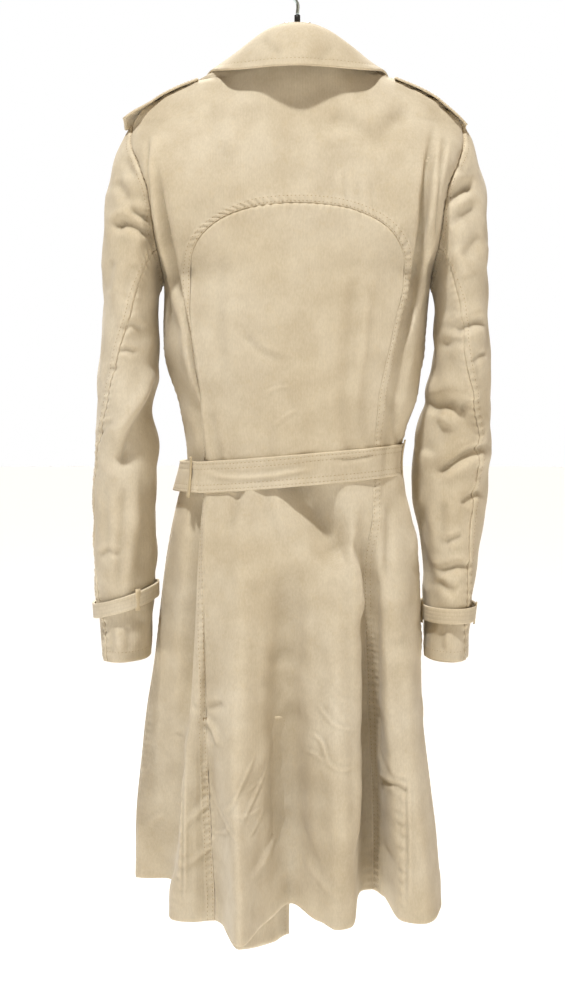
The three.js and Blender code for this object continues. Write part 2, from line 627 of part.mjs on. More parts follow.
function collarStand() {
  const grid = range(2).map((up) => range(18).map((s) => {
    const at = (2 * s - 1) * 0.66;
    const x = -neckHalfWidth * Math.cos(Math.PI * s);
    const foot = backFace(alongAt(backFace, x, shoulderPointZ, 0, backLast), topZ(x));
    foot.z += 3 * seamGap;
    const head = collarPoint(at, 0);
    head.add(new THREE.Vector3(-head.x * 0.06, 4, -1.5));
    return foot.lerp(head, up);
  }));
  return freeWall(grid, cloth, 1);
}

// Belt: an open strip round the waist that passes over its own start in front
const beltZ = (x) => belt.middleZ + belt.slope * x;
const frontTurn = backLast; // the way round the waist: the back first, then the front
function waistFace(around, z) {
  const whole = backLast + frontLast;
  const u = ((around % whole) + whole) % whole;
  return u <= frontTurn ? backFace(u, z) : frontFace(u - frontTurn, z);
}
const beltStart = -frontLast / 2 - 0.6;
const beltEnd = backLast + frontLast / 2 + 1.4;
function beltLift(around) {
  const slack = belt.slack * Math.exp(-((around / belt.slackReach) ** 2));
  const whole = backLast + frontLast;
  const over = (doubled + belt.lapGap) * ease((around - (beltStart + whole) + 0.7) / 0.6);
  return belt.lift + slack + over;
}
function beltPlace(around, across, lift) {
  const middle = beltZ(waistFace(around, belt.middleZ).x);
  return movedOut(waistFace, around, middle + across * belt.width, lift);
}
function beltStrip() {
  const steps = 90;
  const grid = (distance) => [-0.5, 0, 0.5].map((w) => range(steps).map((s) => {
    const around = mix(beltStart, beltEnd, s);
    return beltPlace(around, w, beltLift(around) + distance);
  }));
  return wall(grid(doubled), grid(0));
}

// A sleeve point: turn runs from the outer edge round the back, and down from 0 at the armhole
function sleeveRing(side, z, turn) {
  const rows = sleeveRings[side];
  const sign = side === "left" ? -1 : 1;
  const outer = atHeight(rows, z, "outer");
  const inner = atHeight(rows, z, "inner");
  const angle = 2 * Math.PI * turn;
  const x = (outer + inner) / 2 + ((outer - inner) / 2) * Math.cos(angle);
  const y = atHeight(rows, z, "middle") - atHeight(rows, z, "depth") * Math.sin(angle);
  return new THREE.Vector3(sign * x, y, z);
}
function armhole(side, turn) {
  const t = turn - Math.floor(turn);
  const z = mix(shoulderPointZ, underarmZ, (1 - Math.cos(2 * Math.PI * t)) / 2);
  const back = t <= 0.5;
  const left = side === "left";
  const p = back ? backFace(left ? 0 : backLast, z) : frontFace(left ? frontLast : 0, z);
  p.x += (left ? -1 : 1) * armholeGap;
  return p;
}
const capRings = 6;
const downStep = 100; // millimetres for each unit of a sleeve's down below its first free ring
const firstFreeZ = sleeveRings.left[0].z;
function sleevePoint(side, down, turn) {
  if (down >= 1) return sleeveRing(side, firstFreeZ - (down - 1) * downStep, turn);
  const top = armhole(side, turn);
  const ring = sleeveRing(side, firstFreeZ, turn);
  const angle = 2 * Math.PI * turn;
  const swell = Math.sin(Math.PI * down ** 0.6) ** 1.3;
  const outer = capBulge.outer * swell * Math.max(0, Math.cos(angle));
  const depth = capBulge.back * swell * -Math.sin(angle);
  const outward = 1 - (1 - down) ** 1.35; // quick at first, level where the head meets the sleeve
  const x = mix(top.x, ring.x, outward) + (side === "left" ? -1 : 1) * outer;
  return new THREE.Vector3(x, mix(top.y, ring.y, outward) + depth, mix(top.z, ring.z, down));
}
const cuffDown = 1 + (firstFreeZ - sleeveRings.left.at(-1).z) / downStep;
const sleeveDowns = [
  ...range(capRings).slice(0, -1),
  ...range(14).map((s) => mix(1, cuffDown, s)),
];
function backSeamTurn(side, down) {
  const start = 0.344;
  if (down < 1) return mix(start, atHeight(sleeveRings[side], firstFreeZ, "seam"), down);
  return atHeight(sleeveRings[side], firstFreeZ - (down - 1) * downStep, "seam");
}
function sleeveOut(side, down, turn, out) {
  const p = sleevePoint(side, down, turn);
  const across = sleevePoint(side, down, turn + 0.004).sub(sleevePoint(side, down, turn - 0.004));
  const low = down + 0.02;
  const high = Math.max(down - 0.02, 0);
  const along = sleevePoint(side, low, turn).sub(sleevePoint(side, high, turn));
  const normal = along.cross(across).normalize().multiplyScalar(side === "left" ? 1 : -1);
  return p.addScaledVector(normal, out);
}
function sleevePanel(side, upper) {
  const columns = upper ? 12 : 9;
  const layer = (distance) => {
    const grid = sleeveDowns.map((down) => range(columns).map((s) => {
      const seam = backSeamTurn(side, down);
      const turn = upper ? mix(-frontSleeveSeam, seam, s) : mix(seam, 1 - frontSleeveSeam, s);
      return sleeveOut(side, down, turn, distance);
    }));
    return openSeams(grid, ["first", "last"]);
  };
  return wall(layer(0), layer(-cloth));
}

// A strap round a cuff: level, or higher on its inner side where it slants
const cuffStraps = {
  left: { down: 4.4, slant: 0.12, loops: [0.33, 0.78] },
  right: { down: 4.42, slant: 0, loops: [0.45, 0.07] },
};
function strapDown(side, turn) {
  const { down, slant } = cuffStraps[side];
  return down - slant * (1 - Math.cos(2 * Math.PI * turn));
}
function cuffStrap(side) {
  const half = cuffStrapWidth / 2 / downStep;
  const ringAt = (distance) => [-half, half].map((w) => range(24).slice(0, -1).map((turn) => {
    return sleeveOut(side, strapDown(side, turn) + w, turn, distance);
  }));
  return wall(ringAt(cuffLift + doubled), ringAt(cuffLift), true);
}
function cuffLoop(side, turn) {
  const grid = (distance) => range(3).map((v) => [-1, 0, 1].map((w) => {
    const down = strapDown(side, turn) + (v - 0.5) * loop.cuffReach;
    return sleeveOut(side, down, turn + w * loop.cuffTurn, distance);
  }));
  const low = cuffLift + doubled + loop.lift;
  return wall(grid(low + loop.thick), grid(low));
}

// A stiff shoulder strap: it follows the shoulder and its free end stands off the sleeve head
function shoulderStrap(from, to, neckLift, endZ, halfWidth) {
  const bend = 0.6; // share of its length that lies on the shoulder
  const lift = 2.7;
  const drape = 3.6; // how much lower its long edges lie
  const heightAt = (s) => {
    const x = mix(from, to, s);
    if (s < bend) return topZ(x) + mix(neckLift, lift, s / bend);
    return mix(topZ(mix(from, to, bend)) + lift, endZ, (s - bend) / (1 - bend));
  };
  const tip = { start: 0.8, inset: 9 }; // the free end is rounded
  const grid = range(9).map((s) => range(4).map((w) => {
    const inset = tip.inset * Math.max(0, (s - tip.start) / (1 - tip.start)) ** 2;
    const across = 2 * w - 1;
    const y = across * (halfWidth - inset);
    return new THREE.Vector3(mix(from, to, s), y, heightAt(s) - drape * across * across);
  }));
  return freeWall(grid, doubled, to < 0 ? -1 : 1);
}

function button(face, x, z, out, radius) {
  const along = alongAt(face, x, z, 0, frontLast);
  const foot = movedOut(face, along, z, out);
  const normal = movedOut(face, along, z, out + 1).sub(foot);
  const profile = [[0, 0], [0.8, 0], [1, 0.08], [1, 0.28], [0.86, 0.36], [0.74, 0.24], [0, 0.22]]
    .map(([r, h]) => new THREE.Vector2(r * radius, h * radius));
  const geometry = new THREE.LatheGeometry(profile, 16);
  return { geometry, foot, normal };
}

// Cloth panels
const cream = () => gabardine(clothColour);
const trim = () => gabardine(trimColour);
place(coat, "back_outer", outerBack(), cream());
place(coat, "back_centre", centreBack(), cream());
place(coat, "vent_underlap", ventUnderlap(), trim());
place(coat, "front_right", frontPanel(true), cream());
place(coat, "front_left", frontPanel(false), cream());
place(coat, "lapel_right", lapelPanel(true), cream());
place(coat, "lapel_left", lapelPanel(false), cream());
place(coat, "collar_fall", collarFall(), cream());
place(coat, "collar_stand", collarStand(), trim());

for (const side of ["left", "right"]) {
  place(coat, `sleeve_${side}_upper`, sleevePanel(side, true), cream());
  place(coat, `sleeve_${side}_under`, sleevePanel(side, false), cream());
  place(coat, `cuff_strap_${side}`, cuffStrap(side), cream());
  cuffStraps[side].loops.forEach((turn, k) => {
    place(coat, `cuff_loop_${side}_${k + 1}`, cuffLoop(side, turn), trim());
  });
}

// Belt
place(coat, "belt", beltStrip(), cream());

// A thin thread loop over the belt
function beltLoop(x) {
  const around = alongAt(backFace, x, belt.middleZ, 0, backLast);
  const reach = [-0.66, -0.3, 0.3, 0.66];
  const lift = beltLift(around) + doubled + loop.lift;
  const grid = (distance) => reach.map((w) => [-1, 1].map((u) =>
    beltPlace(around + u * loop.beltTurn, w, lift + distance)));
  return wall(grid(loop.thick), grid(0));
}
place(coat, "belt_loop_left", beltLoop(-112), trim());
place(coat, "belt_loop_right", beltLoop(115), trim());

// Shoulder straps, the left one standing higher off the shoulder
place(coat, "epaulette_left", shoulderStrap(-112, -197, 2.0, -172, 20), cream());
place(coat, "epaulette_right", shoulderStrap(110, 192, 2.7, -179, 19), cream());

// Front: the belt's buckle and two rows of buttons, the fastened one of each pair on the right front
const frontMiddle = beltZ(0);
const buckleSize = { x: 24, z: 27, bar: 6, thick: 3 }; // half sizes of the frame, its bar, its thickness
function buckleFrame() {
  const { x, z, bar, thick } = buckleSize;
  const outer = new THREE.Shape();
  outer.moveTo(-x, -z).lineTo(x, -z).lineTo(x, z).lineTo(-x, z).closePath();
  const hole = new THREE.Path();
  const inner = { x: x - bar, z: z - bar };
  hole.moveTo(-inner.x, -inner.z).lineTo(-inner.x, inner.z).lineTo(inner.x, inner.z)
    .lineTo(inner.x, -inner.z).closePath();
  outer.holes.push(hole);
  return new THREE.ExtrudeGeometry(outer, { depth: thick, bevelEnabled: false });
}
const buckle = place(coat, "belt_buckle", buckleFrame(), hornPlastic());
const buckleAlong = alongAt(frontFace, 0, frontMiddle, 0, frontLast);
const buckleOff = belt.lift + 2 * doubled + 2.2;
buckle.position.copy(movedOut(frontFace, buckleAlong, frontMiddle, buckleOff + buckleSize.thick));
buckle.rotation.set(Math.PI / 2, 0, 0);
const buttons = { x: 46, heights: [-430, -500, -660], radius: 11, lift: 0.4 };
buttons.heights.forEach((z, row) => {
  [-buttons.x, buttons.x].forEach((x, column) => {
    const { geometry, foot, normal } = button(frontFace, x, z, buttons.lift, buttons.radius);
    const mesh = place(coat, `button_${row * 2 + column + 1}`, geometry, hornPlastic());
    mesh.position.copy(foot);
    mesh.quaternion.setFromUnitVectors(new THREE.Vector3(0, 1, 0), normal);
  });
});

// Hanger: arms that follow the shoulders from inside, a ferrule and a round hook
function hangerArms() {
  const outline = new THREE.Shape();
  const steps = 10;
  const upper = range(2 * steps).map((s) => mix(-hanger.halfWidth, hanger.halfWidth, s));
  const arm = (x) => {
    const r = Math.abs(x);
    return topZ(Math.max(r, neckHalfWidth)) - hanger.clear + Math.max(0, neckHalfWidth - r) * hanger.rise;
  };
  const edge = (x) => {
    const collar = ferrule.bottomZ - seamGap;
    return Math.abs(x) < hanger.neckHalfWidth ? collar : Math.min(arm(x), collar);
  };
  upper.forEach((x, i) => (i ? outline.lineTo(x, edge(x)) : outline.moveTo(x, edge(x))));
  [...upper].reverse().forEach((x) => outline.lineTo(x, arm(x) - hanger.height));
  const geometry = new THREE.ExtrudeGeometry(outline, { depth: hanger.thick, bevelEnabled: false });
  return geometry.rotateX(Math.PI / 2).translate(0, hanger.thick / 2, 0);
}
place(coat, "hanger_body", hangerArms(), gabardine(0xb9a98a));
const ferruleHeight = ferrule.topZ - ferrule.bottomZ;
const ferruleMesh = place(coat, "hanger_ferrule", new THREE.CylinderGeometry(
  ferrule.radius, ferrule.radius, ferruleHeight, 20), darkPlastic());
ferruleMesh.rotation.x = Math.PI / 2;
ferruleMesh.position.z = (ferrule.topZ + ferrule.bottomZ) / 2;

// The hook's wire runs straight up from the ferrule, then round over the rod; its inside top is the origin
function hookWire() {
  const centreZ = hook.wire / 2 - hook.bend;
  const points = [new THREE.Vector3(0, 0, ferrule.topZ + seamGap), new THREE.Vector3(0, 0, hook.stemTopZ)];
  const arcSteps = 12;
  for (let k = 0; k <= arcSteps; k += 1) {
    const angle = THREE.MathUtils.degToRad(mix(235, -20, k / arcSteps));
    points.push(new THREE.Vector3(hook.bend * Math.cos(angle), 0, centreZ + hook.bend * Math.sin(angle)));
  }
  const path = new THREE.CatmullRomCurve3(points, false, "centripetal");
  const section = new THREE.Shape();
  section.absarc(0, 0, hook.wire / 2, 0, 2 * Math.PI);
  return new THREE.ExtrudeGeometry(section, { steps: 32, extrudePath: path, curveSegments: 5 });
}
place(coat, "hanger_hook", hookWire(), steel());

export default coat;
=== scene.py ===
import math
import bpy
import numpy as np
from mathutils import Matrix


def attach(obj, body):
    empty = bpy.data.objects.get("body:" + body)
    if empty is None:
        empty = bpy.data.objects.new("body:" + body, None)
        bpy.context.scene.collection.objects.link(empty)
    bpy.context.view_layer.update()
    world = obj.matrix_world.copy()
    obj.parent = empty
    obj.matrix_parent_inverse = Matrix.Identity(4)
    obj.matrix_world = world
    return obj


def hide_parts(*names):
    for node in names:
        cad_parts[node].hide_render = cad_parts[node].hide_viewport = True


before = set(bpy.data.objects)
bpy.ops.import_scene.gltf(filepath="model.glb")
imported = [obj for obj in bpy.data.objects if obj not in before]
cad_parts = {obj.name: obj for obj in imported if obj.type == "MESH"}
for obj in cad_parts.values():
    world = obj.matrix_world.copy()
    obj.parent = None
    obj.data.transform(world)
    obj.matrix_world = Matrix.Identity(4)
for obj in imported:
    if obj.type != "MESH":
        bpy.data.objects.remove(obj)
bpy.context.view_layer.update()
mm = 0.001  # lengths below are in millimetres, the meshes in metres

# Camera, floor and light
camera = {"place": (-0.0167, -1.7, -0.492), "tilt": -3.95, "focalPixels": 1478, "imageHeight": 1004}
studio = {"floorZ": -1.9, "floorRadius": 30, "floorColour": "#FBFAF8", "backdrop": "#FFFFFF",
          "roomColour": "#F0CCA4", "roomLight": 0.19}
ceilingLamp = {"toLeft": 20, "above": 65, "distance": 5.2, "aim": (0, -0.08, -0.3), "size": 0.4, "power": 304,
               "colour": "#FCFDFF"}
lamps = {
    "fill": {"toLeft": -60, "above": 18, "softness": 45, "strength": 0.42, "colour": "#FFF0DA"},
    "behind": {"toLeft": 172, "above": 52, "softness": 25, "strength": 3.6, "colour": "#FFFFFF"},
}


def linear(hexColour):
    channels = [int(hexColour[k:k + 2], 16) / 255 for k in (1, 3, 5)]
    return [c / 12.92 if c <= 0.04045 else ((c + 0.055) / 1.055) ** 2.4 for c in channels] + [1.0]


def addNode(tree, kind, settings=None, links=None):
    made = tree.nodes.new(kind)
    for name, value in (settings or {}).items():
        if isinstance(name, int) or name in made.inputs:
            made.inputs[name].default_value = value
        else:
            setattr(made, name, value)
    for name, source in (links or {}).items():
        tree.links.new(source, made.inputs[name])
    return made


def newMaterial(name):
    made = bpy.data.materials.new(name)
    made.use_nodes = True
    made.node_tree.nodes.clear()
    return made, made.node_tree


def finishMaterial(tree, settings, links):
    shader = addNode(tree, "ShaderNodeBsdfPrincipled", settings, links)
    addNode(tree, "ShaderNodeOutputMaterial", links={"Surface": shader.outputs["BSDF"]})


def colourRamp(tree, factor, low, high, dark, light):
    ramp = addNode(tree, "ShaderNodeValToRGB", links={"Fac": factor})
    ramp.color_ramp.elements[0].position = low
    ramp.color_ramp.elements[0].color = linear(dark)
    ramp.color_ramp.elements[1].position = high
    ramp.color_ramp.elements[1].color = linear(light)
    return ramp.outputs["Color"]


# Cotton gabardine: a tight steep twill with a dry face, so its light is soft and its folds read clearly.
# The real ribs are 0.5 mm apart, too fine to show, so they are drawn 3 mm apart and faint.
twill = {"ribSpacing": 3.0, "ribLean": 0.5, "yarnSize": 1.6, "slubSize": 9.0, "cloudSize": 32.0, "patchSize": 140.0,
         "roughness": 0.8, "ribDepth": 0.10}


def gabardine(name, light, shade, worn):
    made, tree = newMaterial(name)
    place = addNode(tree, "ShaderNodeTexCoord").outputs["Object"]
    perMetre = 1 / mm
    # The ribs climb steeply across the cloth, which hangs nearly flat to the back, so depth counts little
    onCloth = addNode(tree, "ShaderNodeMapping", {"Scale": (1, 0.12, twill["ribLean"])}, {"Vector": place})
    ribs = addNode(tree, "ShaderNodeTexWave", {
        "bands_direction": "X", "Scale": 0.314 * perMetre / twill["ribSpacing"],
        "Distortion": 0.5, "Detail": 1.0}, {"Vector": onCloth.outputs["Vector"]})
    warp = addNode(tree, "ShaderNodeMapping", {"Scale": (1, 1, 0.35)}, {"Vector": place})
    yarns = addNode(tree, "ShaderNodeTexNoise", {
        "Scale": perMetre / twill["yarnSize"], "Detail": 2.0, "Roughness": 0.7}, {"Vector": warp.outputs["Vector"]})
    clouds = addNode(tree, "ShaderNodeTexNoise", {
        "Scale": perMetre / twill["cloudSize"], "Detail": 4.0, "Roughness": 0.6}, {"Vector": place})
    slubs = addNode(tree, "ShaderNodeTexNoise", {
        "Scale": perMetre / twill["slubSize"], "Detail": 4.0, "Roughness": 0.65}, {"Vector": place})
    patches = addNode(tree, "ShaderNodeTexNoise", {
        "Scale": perMetre / twill["patchSize"], "Detail": 3.0}, {"Vector": place})
    base = colourRamp(tree, patches.outputs["Fac"], 0.35, 0.7, shade, light)
    # Painted crease shade: pointiness darkens the cloth colour in the hollows of creases and folds, and leaves ridges
    # as they are
    edges = addNode(tree, "ShaderNodeNewGeometry").outputs["Pointiness"]
    paintedCreaseShade = colourRamp(tree, edges, 0.42, 0.58, "#9C9C9C", "#FFFFFF")
    withPaintedCreaseShade = addNode(tree, "ShaderNodeMix", {"data_type": "RGBA", "blend_type": "MULTIPLY", 0: 0.55},
                      {6: base, 7: paintedCreaseShade})
    thread = addNode(tree, "ShaderNodeMix", {"data_type": "RGBA", "blend_type": "MIX", 7: linear(worn)}, {
        0: addNode(tree, "ShaderNodeMapRange", {"From Min": 0.52, "From Max": 0.75, "To Max": 0.35},
                   {"Value": slubs.outputs["Fac"]}).outputs["Result"],
        6: withPaintedCreaseShade.outputs[2]})
    mottled = thread.outputs[2]
    for source, dark, share in ((yarns, "#C9C5BD", 0.2), (clouds, "#D2C9BA", 0.3)):
        tone = colourRamp(tree, source.outputs["Fac"], 0.36, 0.64, dark, "#FFFFFF")
        mottled = addNode(tree, "ShaderNodeMix", {"data_type": "RGBA", "blend_type": "MULTIPLY", 0: share},
                          {6: mottled, 7: tone}).outputs[2]
    height = addNode(tree, "ShaderNodeMath", {"operation": "MULTIPLY_ADD", 1: 0.4},
                     {0: slubs.outputs["Fac"], 2: ribs.outputs["Fac"]})
    bump = addNode(tree, "ShaderNodeBump", {"Strength": twill["ribDepth"], "Distance": 0.6 * mm},
                   {"Height": height.outputs["Value"]})
    finishMaterial(tree, {
        "Roughness": twill["roughness"], "Specular IOR Level": 0.22, "Sheen Weight": 0.12, "Sheen Roughness": 0.5,
    }, {"Base Color": mottled, "Normal": bump.outputs["Normal"]})
    return made


# Polyester core-spun sewing thread: a little glossier than the cloth it sinks into, and browner, its own tone darkened
# further by painted shade of the stitch holes
def sewingThread(name, colour):
    made, tree = newMaterial(name)
    place = addNode(tree, "ShaderNodeTexCoord").outputs["Object"]
    twist = addNode(tree, "ShaderNodeTexNoise", {"Scale": 900.0, "Detail": 2.0}, {"Vector": place})
    tint = colourRamp(tree, twist.outputs["Fac"], 0.3, 0.7, colour[0], colour[1])
    finishMaterial(tree, {"Roughness": 0.55, "Sheen Weight": 0.1}, {"Base Color": tint})
    return made


# Horn-look polyester resin, cast and tumbled: brown clouds under a soft polish
def hornResin(name):
    made, tree = newMaterial(name)
    place = addNode(tree, "ShaderNodeTexCoord").outputs["Object"]
    clouds = addNode(tree, "ShaderNodeTexNoise", {"Scale": 70.0, "Detail": 5.0, "Distortion": 1.2}, {"Vector": place})
    tint = colourRamp(tree, clouds.outputs["Fac"], 0.35, 0.7, "#4B3422", "#A98258")
    finishMaterial(tree, {"Roughness": 0.32, "IOR": 1.56}, {"Base Color": tint})
    return made


# Chrome-plated steel wire: a clean metal line that picks up the pale room
def platedSteel(name):
    made, tree = newMaterial(name)
    place = addNode(tree, "ShaderNodeTexCoord").outputs["Object"]
    drawn = addNode(tree, "ShaderNodeTexNoise", {"Scale": 420.0, "Detail": 2.0}, {"Vector": place})
    tint = colourRamp(tree, drawn.outputs["Fac"], 0.3, 0.7, "#B9CFD0", "#DCE9E8")
    bump = addNode(tree, "ShaderNodeBump", {"Strength": 0.05, "Distance": 0.1 * mm}, {"Height": drawn.outputs["Fac"]})
    finishMaterial(tree, {"Roughness": 0.28, "Metallic": 1.0}, {"Base Color": tint, "Normal": bump.outputs["Normal"]})
    return made


# Moulded polypropylene, fine spark-eroded grain: a dull even skin
def mouldedPlastic(name, dark, light):
    made, tree = newMaterial(name)
    place = addNode(tree, "ShaderNodeTexCoord").outputs["Object"]
    grain = addNode(tree, "ShaderNodeTexNoise", {"Scale": 1 / (1.2 * mm), "Detail": 3.0}, {"Vector": place})
    tint = colourRamp(tree, grain.outputs["Fac"], 0.3, 0.75, dark, light)
    bump = addNode(tree, "ShaderNodeBump", {"Strength": 0.12, "Distance": 0.2 * mm}, {"Height": grain.outputs["Fac"]})
    finishMaterial(tree, {"Roughness": 0.5, "IOR": 1.49}, {"Base Color": tint, "Normal": bump.outputs["Normal"]})
    return made


# Matt painted plywood floor
def paintedFloor(name, colour):
    made, tree = newMaterial(name)
    finishMaterial(tree, {"Base Color": linear(colour), "Roughness": 0.9}, {})
    return made


finishes = {
    "cloth": gabardine("cottonGabardine", "#E5DAC2", "#DBCDB0", "#C9B998"),
    "trim": gabardine("cottonGabardineInside", "#DBCBAC", "#CFBE98", "#BBA984"),
    # the thread browns hold its own tone plus painted shade of the stitch holes it sinks into
    "thread": sewingThread("coreSpunThreadWithHoleShade", ("#8C7451", "#AC936A")),
    "horn": hornResin("hornLookResin"),
    "steel": platedSteel("chromePlatedSteel"),
    "ferrule": mouldedPlastic("blackPolypropylene", "#161514", "#2B2A28"),
    "hanger": mouldedPlastic("sandPolypropylene", "#A89878", "#B9A98A"),
}
print("materials made")


def addCamera():
    data = bpy.data.cameras.new("camera")
    data.sensor_fit = "VERTICAL"
    data.sensor_height = 36
    data.lens = data.sensor_height * camera["focalPixels"] / camera["imageHeight"]
    made = bpy.data.objects.new("camera", data)
    made.location = camera["place"]
    made.rotation_euler = (math.radians(90 + camera["tilt"]), 0, 0)
    bpy.context.collection.objects.link(made)
    bpy.context.scene.camera = made


def addStudio():
    count = 96
    ring = [(studio["floorRadius"] * math.cos(2 * math.pi * k / count),
             studio["floorRadius"] * math.sin(2 * math.pi * k / count), studio["floorZ"]) for k in range(count)]
    mesh = bpy.data.meshes.new("floor")
    mesh.from_pydata(ring, [], [list(range(count))])
    floor = bpy.data.objects.new("floor", mesh)
    mesh.materials.append(paintedFloor("mattFloorPaint", studio["floorColour"]))
    bpy.context.collection.objects.link(floor)
    # A pale room: it looks white and lights the coat more softly than that
    world = bpy.data.worlds.new("paleRoom")
    world.use_nodes = True
    tree = world.node_tree
    tree.nodes.clear()
    seen = addNode(tree, "ShaderNodeLightPath").outputs["Is Camera Ray"]
    strength = addNode(tree, "ShaderNodeMapRange", {"To Min": studio["roomLight"], "To Max": 1.0}, {"Value": seen})
    colour = addNode(tree, "ShaderNodeMix", {"data_type": "RGBA", 6: linear(studio["roomColour"]),
                                             7: linear(studio["backdrop"])}, {0: seen})
    background = addNode(tree, "ShaderNodeBackground", {}, {"Color": colour.outputs[2],
                                                            "Strength": strength.outputs["Result"]})
    addNode(tree, "ShaderNodeOutputWorld", links={"Surface": background.outputs["Background"]})
    bpy.context.scene.world = world
    bpy.context.scene.view_settings.view_transform = "Standard"
    # One disc lamp on the ceiling behind the coat: its light fades towards the hem and shows the folds
    data = bpy.data.lights.new("ceilingLamp", "AREA")
    data.shape = "DISK"
    data.size = ceilingLamp["size"]
    data.energy = ceilingLamp["power"]
    data.color = linear(ceilingLamp["colour"])[:3]
    made = bpy.data.objects.new("ceilingLamp", data)
    above, toLeft = math.radians(ceilingLamp["above"]), math.radians(ceilingLamp["toLeft"])
    away = (-math.sin(toLeft) * math.cos(above), -math.cos(toLeft) * math.cos(above), math.sin(above))
    made.location = [a + ceilingLamp["distance"] * b for a, b in zip(ceilingLamp["aim"], away)]
    made.rotation_euler = (math.pi / 2 - above, 0, -toLeft)
    bpy.context.collection.objects.link(made)
    for name, lamp in lamps.items():
        data = bpy.data.lights.new(name, "SUN")
        data.angle = math.radians(lamp["softness"])
        data.energy = lamp["strength"]
        data.color = linear(lamp["colour"])[:3]
        made = bpy.data.objects.new(name, data)
        made.rotation_euler = (math.radians(90 - lamp["above"]), 0, math.radians(-lamp["toLeft"]))
        bpy.context.collection.objects.link(made)


addCamera()
addStudio()
print("camera, floor and light placed")

# The coat's surface, from the same lines and folds as its solids
coat = {
    "cloth": 1.8, "doubled": 2.4, "neckZ": -118, "shoulderPointZ": -182, "underarmZ": -362, "archFootZ": -352,
    "archRise": 74, "archRoundness": 2.3, "skirtTopZ": -600, "hemZ": -1074, "ventTopZ": -845, "underlapHemZ": -1104,
    "neckHalfWidth": 76, "neckDepth": 48, "neckCrown": 5, "shoulderHalfWidth": 186, "shoulderDrop": 42,
    "shoulderTurn": 22, "shoulderRoll": 80, "roundness": 2.4, "armholeDepth": 56, "frontEdgeX": 78, "breakZ": -385,
    "lapLift": 6, "armholeGap": 1.5, "swingLeft": 70, "swingRight": -10,
}


def named(columns, rows):
    return {name: np.array([row[k] for row in rows], float) for k, name in enumerate(columns.split())}


mainLines = named("z sideLeft seamLeft seamRight sideRight back front", [
    (-110, -186, -118, 118, 186, 50, 56), (-182, -186, -118, 118, 186, 60, 68), (-206, -186, -118, 118, 186, 66, 76),
    (-233, -175, -118, 118, 175, 71, 82), (-262, -165, -118, 118, 165, 76, 88), (-318, -158, -118, 118, 158, 81, 94),
    (-362, -152, -118, 116, 152, 83, 96), (-415, -153, -118, 105, 147, 85, 96), (-450, -150, -114, 97, 143, 86, 94),
    (-492, -136, -109, 89, 137, 86, 90), (-531, -129, -105, 86, 123, 85, 86), (-562, -126, -104, 85, 118, 84, 85),
    (-600, -135, -104, 84, 122, 86, 88), (-666, -149, -104, 78, 139, 92, 98), (-730, -158, -103, 78, 143, 94, 105),
    (-800, -167, -102, 80, 144, 95, 112), (-870, -178, -101, 82, 147, 95, 117), (-945, -187, -98, 85, 156, 95, 121),
    (-1000, -192, -95, 87, 163, 95, 124), (-1120, -198, -91, 90, 172, 95, 127),
])
backFolds = named("panel shoulder chest waist hem bust out opensFrom rise", [
    (0, 0, 0, 0, 0, 0, 0, 0, 0),                      # left side seam
    (0, 0.37, 0.52, 0.82, 0.43, -9, -77, 0, 4),       # hollow beside it
    (0, 0.55, 0.68, 0.88, 0.53, 1, 40, 0, 0),         # left pleat
    (0, 0.76, 0.84, 0.94, 0.76, 3, 28, 0.05, 0),
    (0, 1, 1, 1, 1, 2, 7, 0.1, 0),                    # left princess seam
    (1, 0.19, 0.19, 0.19, 0.165, 1, 74, 0.15, 0),     # crest over the vent
    (1, 0.34, 0.34, 0.34, 0.3, 0, 16, 0.1, 3),
    (1, 0.54, 0.54, 0.54, 0.47, 0, -40, 0, 11),       # centre hollow
    (1, 0.68, 0.68, 0.68, 0.637, 0, -4, 0, 3),
    (1, 0.84, 0.84, 0.85, 0.74, 1, 17, 0, 0),         # right crest
    (1, 0.9, 0.9, 0.905, 0.835, 1, 9, 0, 0),
    (1, 0.95, 0.95, 0.95, 0.934, 1, -76, 0, 12),      # deep hollow
    (1, 1, 1, 1, 1, 2, -78, 0, 12),                   # right princess seam
    (2, 0.3, 0.18, 0.13, 0.14, 1, -66, 0, 8),
    (2, 0.54, 0.38, 0.3, 0.35, -9, 0, 0, 0),          # right pleat
    (2, 0.8, 0.7, 0.66, 0.7, 0, 25, 0, 0),
    (2, 1, 1, 1, 1, 0, 0, 0, 0),                      # right side seam
])
frontFolds = named("at out", [
    (0, 0), (0.1, 18), (0.2, -26), (0.31, 14), (0.41, -8), (0.5, 8),
    (0.6, -12), (0.7, 18), (0.8, -28), (0.9, 20), (1, 0),
])
backLast = len(backFolds["panel"]) - 1
frontLast = len(frontFolds["at"]) - 1
seamLeft = 4
seamRight = 12


def mix(a, b, t):
    return a + (b - a) * t


def ease(t):
    s = np.clip(t, 0, 1)
    return s * s * (3 - 2 * s)


# A column of a table whose rows run down in z, at each height z
def atHeight(table, column, z):
    heights, values = table["z"], table[column]
    i = np.clip(np.searchsorted(-heights, -z) - 1, 0, len(heights) - 2)
    before, after = np.maximum(i - 1, 0), np.minimum(i + 2, len(heights) - 1)
    span = heights[i] - heights[i + 1]
    t = np.clip((heights[i] - z) / span, 0, 1)
    enter = (values[i + 1] - values[before]) / (heights[before] - heights[i + 1]) * span
    leave = (values[after] - values[i]) / (heights[i] - heights[after]) * span
    return ((2 * t**3 - 3 * t**2 + 1) * values[i] + (t**3 - 2 * t**2 + t) * enter
            + (3 * t**2 - 2 * t**3) * values[i + 1] + (t**3 - t**2) * leave)


def topZ(x):
    r = np.abs(x)
    neck = coat["neckZ"] + coat["neckCrown"] * (1 - np.minimum(r / coat["neckHalfWidth"], 1) ** 2)
    s = np.maximum(r - coat["neckHalfWidth"], 0) / (coat["shoulderHalfWidth"] - coat["neckHalfWidth"])
    return np.where(r < coat["neckHalfWidth"], neck, coat["neckZ"] - coat["shoulderDrop"] * s - coat["shoulderTurn"] * s**6)


def downSkirt(z, most):
    return np.clip((coat["skirtTopZ"] - z) / (coat["skirtTopZ"] - coat["hemZ"]), 0, most)


